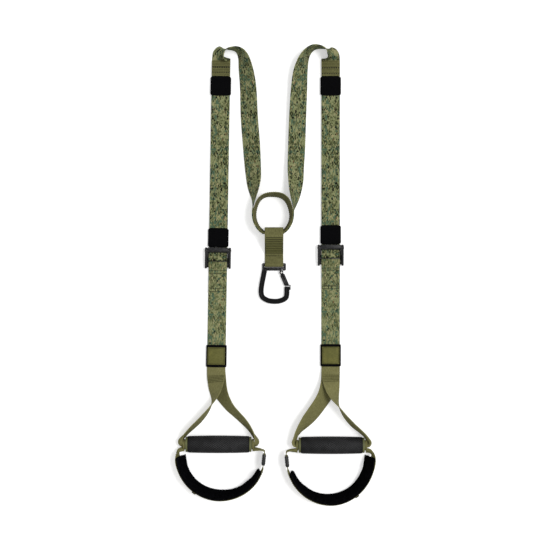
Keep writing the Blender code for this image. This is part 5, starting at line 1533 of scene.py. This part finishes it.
def foot_strap_rows(name, arm):
    """Webbing along the pad's outer face, from the outer eye to the inner eye."""
    side, eye = arm["side"], eye_middle()
    low = -EYE_BORE - WEB_THICKNESS / 2 - GAP / 2
    stations = [(eye, low, 0, 0, 0.45), (eye + EYE_BORE * 0.5, low * 1.02, 0, 0, 0.48),
                (eye + EYE_BORE * 1.3, low * 1.4, 0, 0, 0.62)]
    for k in range(FOOT_STATIONS):
        x, y, tilt = foot_arc(name, arm, k / (FOOT_STATIONS - 1), strap_out())
        stations.append((x, y, pad_rise(name), -tilt, 1))
    stations += [(*straight_run(name, arm, share), pad_rise(name), 0, 1) for share in (0, 0.08, 0.92, 1)]
    head_x, head_y = straight_run(name, arm, 1)
    stations += [(head_x + (-eye - head_x) * out_share, head_y + (low - head_y) * up_share,
                  pad_rise(name) * (1 - out_share), 0, 1 - 0.55 * out_share)
                 for out_share, up_share in HEAD_SHARES]
    return tilted_rows([(x * side, y, z, tilt * side, bunch) for x, y, z, tilt, bunch in smooth(stations)])


def foot_straps(context):
    """Foot webbing with an eye round the handle strap at each end of the grip, sewn to the pad."""
    for name, arm in ARMS.items():
        at = Matrix.Translation(handle_place(arm))
        rows = foot_strap_rows(name, arm)
        work = bmesh.new()
        sweep(work, rows, webbing_section(FOOT_WEB, WEB_THICKNESS, 12), fold=GATHER)
        for end in (-1, 1):
            loop = arc((0, 0), EYE_BORE + WEB_THICKNESS / 2, 0, math.tau * 31 / 32, 32)
            ring = [(centre + Vector((end * eye_middle(), 0, 0)), across, out, scale)
                    for centre, across, out, scale in band_rows(loop, True)]
            sweep(work, ring, webbing_section(EYE_WIDTH, WEB_THICKNESS, 2), True)
        body = name + "_foot"
        finished(context, name + "_foot_webbing", work, "handle_nylon_webbing", body,
                 [name + "_foot_strap"], at)
        face = -1 if rows[len(rows) // 2][2].y > 0 else 1
        first, last = EYE_BORE * 2, running(rows)[-1] - STRAIGHT_RUN - EYE_BORE * 4
        alongs = [first + (last - first) * k / FOOT_SEAM_STEPS for k in range(FOOT_SEAM_STEPS + 1)]
        lines = along_strip(at, rows, alongs, FOOT_WEB / 2 - EDGE_INSET, WEB_THICKNESS / 2 * face)
        sewn(context, name + "_foot_stitching", lines, body, "olive_thread")


def foot_sliders(context):
    """Ladder slider on the foot strap's straight run, and the small keeper on the outer side."""
    for name, arm in ARMS.items():
        hub = Matrix.Translation(handle_place(arm))
        side = arm["side"]
        x, y = straight_run(name, arm, 0.5)
        turn = Matrix.Rotation(STRAIGHT_LEAN * side, 4, "Z")
        place = hub @ Matrix.Translation((x * side, y, pad_rise(name))) @ turn
        thick, wide = WEB_THICKNESS + GAP * 2, FOOT_WEB + GAP * 2
        rows = band_loop(thick, wide, SLIDER_WALL, Vector(), SLIDER_LENGTH, 0.0)
        work = bmesh.new()
        sweep(work, rows, webbing_section(SLIDER_LENGTH, SLIDER_WALL, 4), True)
        tall = wide / 2 - SLIDER_WALL
        for k in (-3, -1, 1, 3):
            along = k * SLIDER_LENGTH / 9
            for face in (-1, 1):
                across = face * ((thick + SLIDER_WALL) / 2 + SLIDER_WALL * 0.42)
                rod_shell(work, (across, along, -tall), (across, along, tall), SLIDER_RIB, SLIDER_RIB_EDGE,
                          turns=10)
        finished(context, name + "_foot_slide_adjuster", work, "moulded_nylon", name + "_slide",
                 [name + "_foot_slider"], place)
        keeper(context, name, arm, hub)


def keeper(context, name, arm, hub):
    """A folded tab of elastic that holds the strap's spare end."""
    side = arm["side"]
    out = strap_out() + WEB_THICKNESS / 2 + GAP * 2 + FOOT_KEEPER_THICKNESS / 2
    x, y, tilt = foot_arc(name, arm, FOOT_KEEPER_SHARE, out)
    near, far = (foot_arc(name, arm, FOOT_KEEPER_SHARE + step, out) for step in (-0.01, 0.01))
    along = Vector(((far[0] - near[0]) * side, far[1] - near[1], 0)).normalized()
    outwards = Vector((x * side + arm["foot_shift"] * side, y + arm["foot_back"], 0)).normalized()
    leaning = (outwards - along * outwards.dot(along)) * math.sin(tilt)
    upright = (leaning + Vector((0, 0, math.cos(tilt)))).normalized()
    turn = Matrix((along, upright.cross(along), upright)).transposed().to_4x4()
    half = Vector((FOOT_KEEPER_LENGTH, FOOT_KEEPER_THICKNESS, FOOT_WEB * 0.9)) / 2
    work = bmesh.new()
    box_shell(work, -half, half, FOOT_KEEPER_THICKNESS * 0.4)
    for k in range(-4, 5):
        for face in (-1, 1):
            end = Vector((half.x * 0.86, 0, 0))
            middle = Vector((0, half.y * face, k * half.z / 5))
            rod_shell(work, middle - end, middle + end, FOOT_KEEPER_RIB, FOOT_KEEPER_RIB_EDGE, turns=8)
    uv = work.loops.layers.uv.new("UVMap")
    for face in work.faces:
        for loop in face.loops:
            loop[uv].uv = (loop.vert.co.x, loop.vert.co.z)
    place = hub @ Matrix.Translation((x * side, y, pad_rise(name))) @ turn
    finished(context, name + "_foot_keeper_tab", work, "knitted_elastic", name + "_foot",
             [name + "_foot_keeper"], place)


# Buckles

def buckles(context):
    """Cam buckles: bent-up frame and toothed thumb lever, every edge rounded by its coating."""
    rounding = context.scene.trainer_metal.rounding
    for name, arm in ARMS.items():
        at = arm_matrix(arm)
        inner = WEB_WIDTH / 2 + CHEEK_ROOM
        outer = inner + CHEEK_THICKNESS
        corner = CHEEK_HEIGHT / 3
        outline = arc((-corner, CHEEK_HEIGHT - corner), corner, 0, FLAT, 8)
        outline += [(-BUCKLE_LENGTH * 0.5, CHEEK_HEIGHT)]
        outline += arc((-BUCKLE_LENGTH + corner, CHEEK_HEIGHT * 0.82 - corner), corner, FLAT, 2 * FLAT, 8)
        outline += arc((-BUCKLE_LENGTH + corner, corner), corner, 2 * FLAT, 3 * FLAT, 8)
        outline += arc((-corner, corner), corner, 3 * FLAT, 4 * FLAT, 8)
        work = bmesh.new()
        reach = outer - 0.5 * MM
        for drop, height, radius in ((TURN_BAR_DROP, turn_bar_height(), TURN_BAR_RADIUS),
                                     (LOWER_BAR_DROP, lower_bar_height(), LOWER_BAR_RADIUS)):
            rod_shell(work, (-reach, -drop, height), (reach, -drop, height), radius, rounding)
        lap = inner + FRAME_LAP
        base = -BUCKLE_LENGTH + corner / 2
        anvil_top = LOW_LEVEL - WEB_THICKNESS / 2 - GAP
        box_shell(work, (-lap, -CAM_DROP - ANVIL_LENGTH / 2, 0),
                  (lap, -CAM_DROP + ANVIL_LENGTH / 2, anvil_top), rounding * 0.7)
        bridge = -(TURN_BAR_DROP + LOWER_BAR_DROP) / 2
        for low, high in ((bridge - BRIDGE / 2, bridge + BRIDGE / 2), (base, -BUCKLE_LENGTH + BRIDGE)):
            box_shell(work, (-lap, low, GAP), (lap, high, LIFT - GAP), rounding)
        for side in (-1, 1):
            low_x, high_x = sorted((side * (WEB_WIDTH / 2 + GAP), side * lap))
            box_shell(work, (low_x, base, GAP * 0.7), (high_x, -corner / 2, LIFT - GAP * 1.3), rounding)
            cheek = Matrix.Translation((side * (inner + outer + CHEEK_SWELL) / 2, 0, 0)) @ UPRIGHT
            plate_shell(work, outline, CHEEK_THICKNESS + CHEEK_SWELL, rounding * 2, cheek)
            pin = (side * outer, -CAM_DROP, cam_height())
            pin_end = (side * (outer + CHEEK_SWELL + PIN_HEAD_REACH), *pin[1:])
            rod_shell(work, pin, pin_end, PIN_HEAD, PIN_HEAD_ROUNDING)
        finished(context, name + "_buckle_body", work, "powder_coated_steel", name + "_arm",
                 [name + "_buckle_frame"], at)
        lever(context, name, at @ Matrix.Translation((0, -CAM_DROP, cam_height())), rounding)


def lever(context, name, at, rounding):
    """Toothed cam and thumb lip between two flanges."""
    inner = WEB_WIDTH / 2 + CHEEK_ROOM - GAP
    teeth = []
    for k in range(CAM_TEETH * 2 + 1):
        angle = 3 * FLAT - FLAT * 0.6 + FLAT * 0.9 * k / (CAM_TEETH * 2)
        radius = CAM_RADIUS + (CAM_TOOTH if k % 2 else 0)
        teeth.append((radius * math.cos(angle), radius * math.sin(angle)))
    lip_low = CAM_RADIUS - LIP_THICKNESS
    lip_middle = (LIP_REACH - LIP_THICKNESS / 2, lip_low + LIP_THICKNESS / 2)
    outline = teeth + [(CAM_RADIUS * 0.9, lip_low)]
    outline += arc(lip_middle, LIP_THICKNESS / 2, -FLAT, FLAT, 9)
    outline += arc((0, 0), CAM_RADIUS, FLAT, 3 * FLAT - FLAT * 0.72, 10)
    work = bmesh.new()
    width = inner * 2 - FLANGE_THICKNESS * 2 + 0.6 * MM
    plate_shell(work, outline, width, rounding * 0.3, UPRIGHT)
    flange = arc((0, 0), CAM_RADIUS * 0.98, 0, FLAT, 7) + [(-FLANGE_LENGTH * 0.5, CAM_RADIUS * 0.92)]
    flange_end = (CAM_DROP - FLANGE_LENGTH + CAM_RADIUS / 2, CAM_RADIUS / 3)
    flange += arc(flange_end, CAM_RADIUS / 2, FLAT, 3 * FLAT, 9)
    flange += [(0, -CAM_RADIUS * 0.6)]
    for side in (-1, 1):
        plate_shell(work, flange, FLANGE_THICKNESS, rounding,
                    Matrix.Translation((side * (inner - FLANGE_THICKNESS / 2), 0, 0)) @ UPRIGHT)
    finished(context, name + "_thumb_lever", work, "powder_coated_steel", name + "_cam",
             [name + "_cam_lever"], at)


# Carabiner

def grooved_section(radius, groove, depth, count=48):
    """A round section with a forged groove above and below."""
    points = []
    for k in range(count):
        angle = math.tau * k / count
        up, out = radius * math.cos(angle), radius * math.sin(angle)
        inside = max(0.0, 1 - abs(out) / (groove / 2))
        points.append((up - math.copysign(depth, up) * math.sin(inside * FLAT), out))
    return points


def gate_pivot(shoulder):
    return (CARABINER_WIDTH / 2 * 0.47, shoulder - KNUCKLE_RADIUS - GAP * 2)


def gate_end(shoulder):
    return (CARABINER_WIDTH / 2 * 0.83, shoulder - CARABINER_HEIGHT * 0.37)


def carabiner(context):
    """Forged body with a webbing eye, sprung gate and its rivet."""
    rounding = context.scene.trainer_metal.rounding
    groove = context.scene.trainer_metal.groove
    at = Matrix.Translation((CARABINER_X, CARABINER_Y, eye_bar_height()))
    eye_half = WEB_WIDTH / 2 + RUN_CLEARANCE
    outer = eye_half + EYE_SIDE
    loop_reach = EYE_BAR_RADIUS + LAYER + GAP
    half = EYE_DEPTH / 2
    shoulder = -loop_reach - CROSSBAR
    work = bmesh.new()
    bar_end = eye_half + EYE_SIDE / 2
    rod_shell(work, (-bar_end, 0, 0), (bar_end, 0, 0), EYE_BAR_RADIUS, rounding)
    for side in (-1, 1):
        low_x, high_x = sorted((side * eye_half, side * outer))
        box_shell(work, (low_x, shoulder, -half), (high_x, EYE_BAR_RADIUS * 1.04, half), rounding * 4.4)
    inset = half * 0.94
    box_shell(work, (-outer + EYE_SIDE / 2, shoulder, -inset), (outer - EYE_SIDE / 2, -loop_reach, inset),
              rounding * 2)
    foot = EYE_BAR_RADIUS - CARABINER_HEIGHT
    reach = CARABINER_WIDTH / 2 - STOCK_RADIUS
    lift = STOCK_RADIUS - eye_bar_height()
    hook = gate_end(shoulder)
    route = [(-outer + STOCK_RADIUS, shoulder + CROSSBAR / 2), (-reach, foot + reach * 0.95),
             (-reach * 0.9, foot + reach * 0.55), (-reach * 0.5, foot + STOCK_RADIUS * 1.4),
             (0, foot + STOCK_RADIUS), (reach * 0.5, foot + STOCK_RADIUS * 1.25),
             (reach * 0.92, foot + reach * 0.5), (hook[0], hook[1] - GATE_RADIUS * 0.7)]
    rows = tilted_rows(smooth([(x, y, lift, 0, 1) for x, y in route], 14))
    centre, across, out, _ = rows[-1]
    along = (centre - rows[-2][0]).normalized()
    rows += [(centre + along * STOCK_RADIUS * 0.3 * math.sin(turn), across, out, math.cos(turn) ** 0.5)
             for turn in (0.5, 0.9, 1.25)]
    sweep(work, rows, grooved_section(STOCK_RADIUS, groove, 1.3 * MM))
    nose = GATE_FLESH + GAP * 1.5
    hook_x, hook_y = hook
    root = hook_y - STOCK_RADIUS * 1.6
    box_shell(work, (hook_x + nose, root, lift - NOSE),
              (hook_x + nose + NOSE, hook_y + NOSE, lift + NOSE), rounding * 1.6)
    box_shell(work, (hook_x, root, lift - NOSE),
              (hook_x + nose + NOSE / 2, hook_y - STOCK_RADIUS * 0.9, lift + NOSE), rounding)
    pivot = gate_pivot(shoulder)
    tongue = half - CLEVIS_THICKNESS - GAP
    for z in (-1, 1):
        near, far = z * (tongue + GAP), z * (tongue + GAP + CLEVIS_THICKNESS)
        rod_shell(work, (*pivot, near), (*pivot, far), CLEVIS_RADIUS, HINGE_ROUNDING)
        near, far = sorted((near, far))
        box_shell(work, (pivot[0] - CLEVIS_RADIUS * 0.9, pivot[1], near + 0.05 * MM),
                  (pivot[0] + CLEVIS_RADIUS * 0.9, shoulder + CROSSBAR / 2, far - 0.05 * MM), HINGE_ROUNDING)
    finished(context, "carabiner_forging", work, "anodised_aluminium", "carabiner", ["carabiner_body"], at)
    run = Vector((hook[0] - pivot[0], hook[1] - pivot[1]))
    hinge = at @ Matrix.Translation((*pivot, 0))
    turn = Matrix.Rotation(math.atan2(run.x, -run.y), 4, "Z")
    start, end = -CLEVIS_RADIUS - GAP * 2, -GAP - run.length
    work = bmesh.new()
    edge = 0.8 * MM
    level = run.x / run.y
    ends = [(start, 0.8, 0), (start - edge * 0.3, 0.93, 0), (start - edge, 1, 0), (end + edge, 1, level),
            (end + edge * 0.3, 0.93, level), (end, 0.8, level)]
    rows = [(Vector((0, y, 0)), Vector((0, 0, 1)), Vector((1, slant, 0)), scale) for y, scale, slant in ends]
    sweep(work, rows, grooved_section(GATE_FLESH, groove * 0.8, 1 * MM))
    rod_shell(work, (0, 0, -tongue), (0, 0, tongue), KNUCKLE_RADIUS, HINGE_ROUNDING)
    knuckle = KNUCKLE_RADIUS * 0.95
    box_shell(work, (-knuckle, start - 2 * MM, -tongue), (knuckle, 0, tongue), HINGE_ROUNDING)
    finished(context, "carabiner_gate_forging", work, "anodised_aluminium", "gate", ["carabiner_gate"],
             hinge @ turn)
    head = half + GAP
    top = head + RIVET_HEAD / 2
    work = bmesh.new()
    rod_shell(work, (0, 0, -top + 0.2 * MM), (0, 0, top - 0.2 * MM), RIVET_RADIUS, 0.2 * MM)
    for z in (-1, 1):
        rod_shell(work, (0, 0, z * head), (0, 0, z * top), RIVET_RADIUS * 1.6, 0.6 * MM)
    finished(context, "carabiner_rivet", work, "stainless_steel", "carabiner", ["carabiner_gate_rivet"],
             hinge)


def inner_hardware(context):
    """Materials of the solids that stay as the frame has them."""
    kept = {"cam_pin": "stainless_steel", "cam_spring": "stainless_steel", "grip_tube": "moulded_nylon"}
    pairs = [(f"{name}_{what}", dress) for name in ARMS for what, dress in kept.items()]
    pairs += [("carabiner_gate_plunger", "stainless_steel"), ("carabiner_gate_spring", "stainless_steel")]
    for name, dress in pairs:
        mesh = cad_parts[name].data
        mesh.materials.clear()
        mesh.materials.append(stuff(context, dress))


# Stage

VIEW_X = -1 * MM
VIEW_Y = -1.4 * MM
FLOOR_HALF = 6.0
LAMP_TILT = math.radians(24)
LAMP_TURN = math.radians(12)
LAMP_SIZE = math.radians(16)


def stage(context):
    """White floor and surround, soft lamp from the right and the camera straight above."""
    sizes = context.scene.trainer_stage
    scene = context.scene
    scene.view_settings.view_transform = "Standard"
    lens = bpy.data.cameras.new("camera")
    lens.lens = lens.sensor_width * sizes.height / sizes.across
    lens.clip_end = 50
    camera = bpy.data.objects.new("camera", lens)
    camera.location = (VIEW_X, VIEW_Y, sizes.height)
    scene.collection.objects.link(camera)
    scene.camera = camera
    lamp = bpy.data.lights.new("lamp", "SUN")
    lamp.energy = sizes.lamp
    lamp.angle = LAMP_SIZE
    holder = bpy.data.objects.new("lamp", lamp)
    holder.rotation_euler = (0, LAMP_TILT, LAMP_TURN)
    scene.collection.objects.link(holder)
    world = bpy.data.worlds.new("surround")
    scene.world = world
    world.use_nodes = True
    tree = world.node_tree
    strength = node(tree, "ShaderNodeMapRange", {"Value": seen_share(tree), "To Min": sizes.sky}).outputs[0]
    background = tree.nodes["Background"]
    background.inputs["Color"].default_value = (1, 1, 1, 1)
    tree.links.new(strength, background.inputs["Strength"])
    mesh = bpy.data.meshes.new("floor")
    corners = [(x * FLOOR_HALF, y * FLOOR_HALF, -0.2 * MM) for x, y in ((-1, -1), (1, -1), (1, 1), (-1, 1))]
    mesh.from_pydata(corners, [], [(0, 1, 2, 3)])
    floor = bpy.data.objects.new("floor", mesh)
    scene.collection.objects.link(floor)
    made, tree, shader = material("matt_paper", 0.95, (0.84, 0.84, 0.84))
    shader.inputs["Emission Color"].default_value = (1, 1, 1, 1)
    feed(tree, shader, "Emission Strength", maths(tree, "MULTIPLY", seen_share(tree), 0.42))
    mesh.materials.append(made)


def seen_share(tree):
    """1 for what the camera sees straight, in a gloss or through glass, else 0."""
    rays = node(tree, "ShaderNodeLightPath").outputs
    both = maths(tree, "MAXIMUM", rays["Is Camera Ray"], rays["Is Glossy Ray"])
    return maths(tree, "MAXIMUM", both, rays["Is Transmission Ray"])


# Add-on

def operator(idname, label, make):
    """An operator class that makes one group of pieces."""

    def execute(self, context):
        make(context)
        return {"FINISHED"}

    return type("TRAINER_OT_" + idname, (bpy.types.Operator,),
                {"bl_idname": "trainer." + idname, "bl_label": label, "__doc__": make.__doc__ or label,
                 "execute": execute})


STEPS = [
    ("stage", "Stage", stage),
    ("equalizer", "Equalizer ring", equalizer),
    ("anchor", "Anchor loop", anchor),
    ("main_straps", "Main straps", main_straps),
    ("adjust_tabs", "Adjusting tabs", adjust_tabs),
    ("keepers", "Keepers", keepers),
    ("lower_straps", "Lower straps", lower_straps),
    ("labels", "Labels", labels),
    ("handle_straps", "Handle straps", handle_straps),
    ("grips", "Grips", grips),
    ("foot_pads", "Foot pads", foot_pads),
    ("foot_straps", "Foot straps", foot_straps),
    ("foot_sliders", "Foot sliders", foot_sliders),
    ("buckles", "Cam buckles", buckles),
    ("carabiner", "Carabiner", carabiner),
    ("inner_hardware", "Inner hardware", inner_hardware),
]
OPERATORS = [operator(*step) for step in STEPS]
GROUPS = {"trainer_webbing": TrainerWebbing, "trainer_stitching": TrainerStitching,
          "trainer_metal": TrainerMetal, "trainer_grip": TrainerGrip, "trainer_pad": TrainerPad,
          "trainer_stage": TrainerStage}


class TRAINER_PT_panel(bpy.types.Panel):
    """Every step of the trainer's finish, in order."""
    bl_label = "Suspension Trainer"
    bl_space_type = "VIEW_3D"
    bl_region_type = "UI"
    bl_category = "Trainer"

    def draw(self, context):
        for group in GROUPS:
            sizes = getattr(context.scene, group)
            for key in sizes.__annotations__:
                self.layout.prop(sizes, key)
        for idname, _, _ in STEPS:
            self.layout.operator("trainer." + idname)


def register():
    for kind in (*GROUPS.values(), *OPERATORS, TRAINER_PT_panel):
        bpy.utils.register_class(kind)
    for group, kind in GROUPS.items():
        setattr(bpy.types.Scene, group, PointerProperty(type=kind))


def unregister():
    for group in GROUPS:
        delattr(bpy.types.Scene, group)
    for kind in reversed((*GROUPS.values(), *OPERATORS, TRAINER_PT_panel)):
        bpy.utils.unregister_class(kind)


def main():
    register()
    for idname, _, _ in STEPS:
        getattr(bpy.ops.trainer, idname)()


if __name__ == "__main__":
    main()
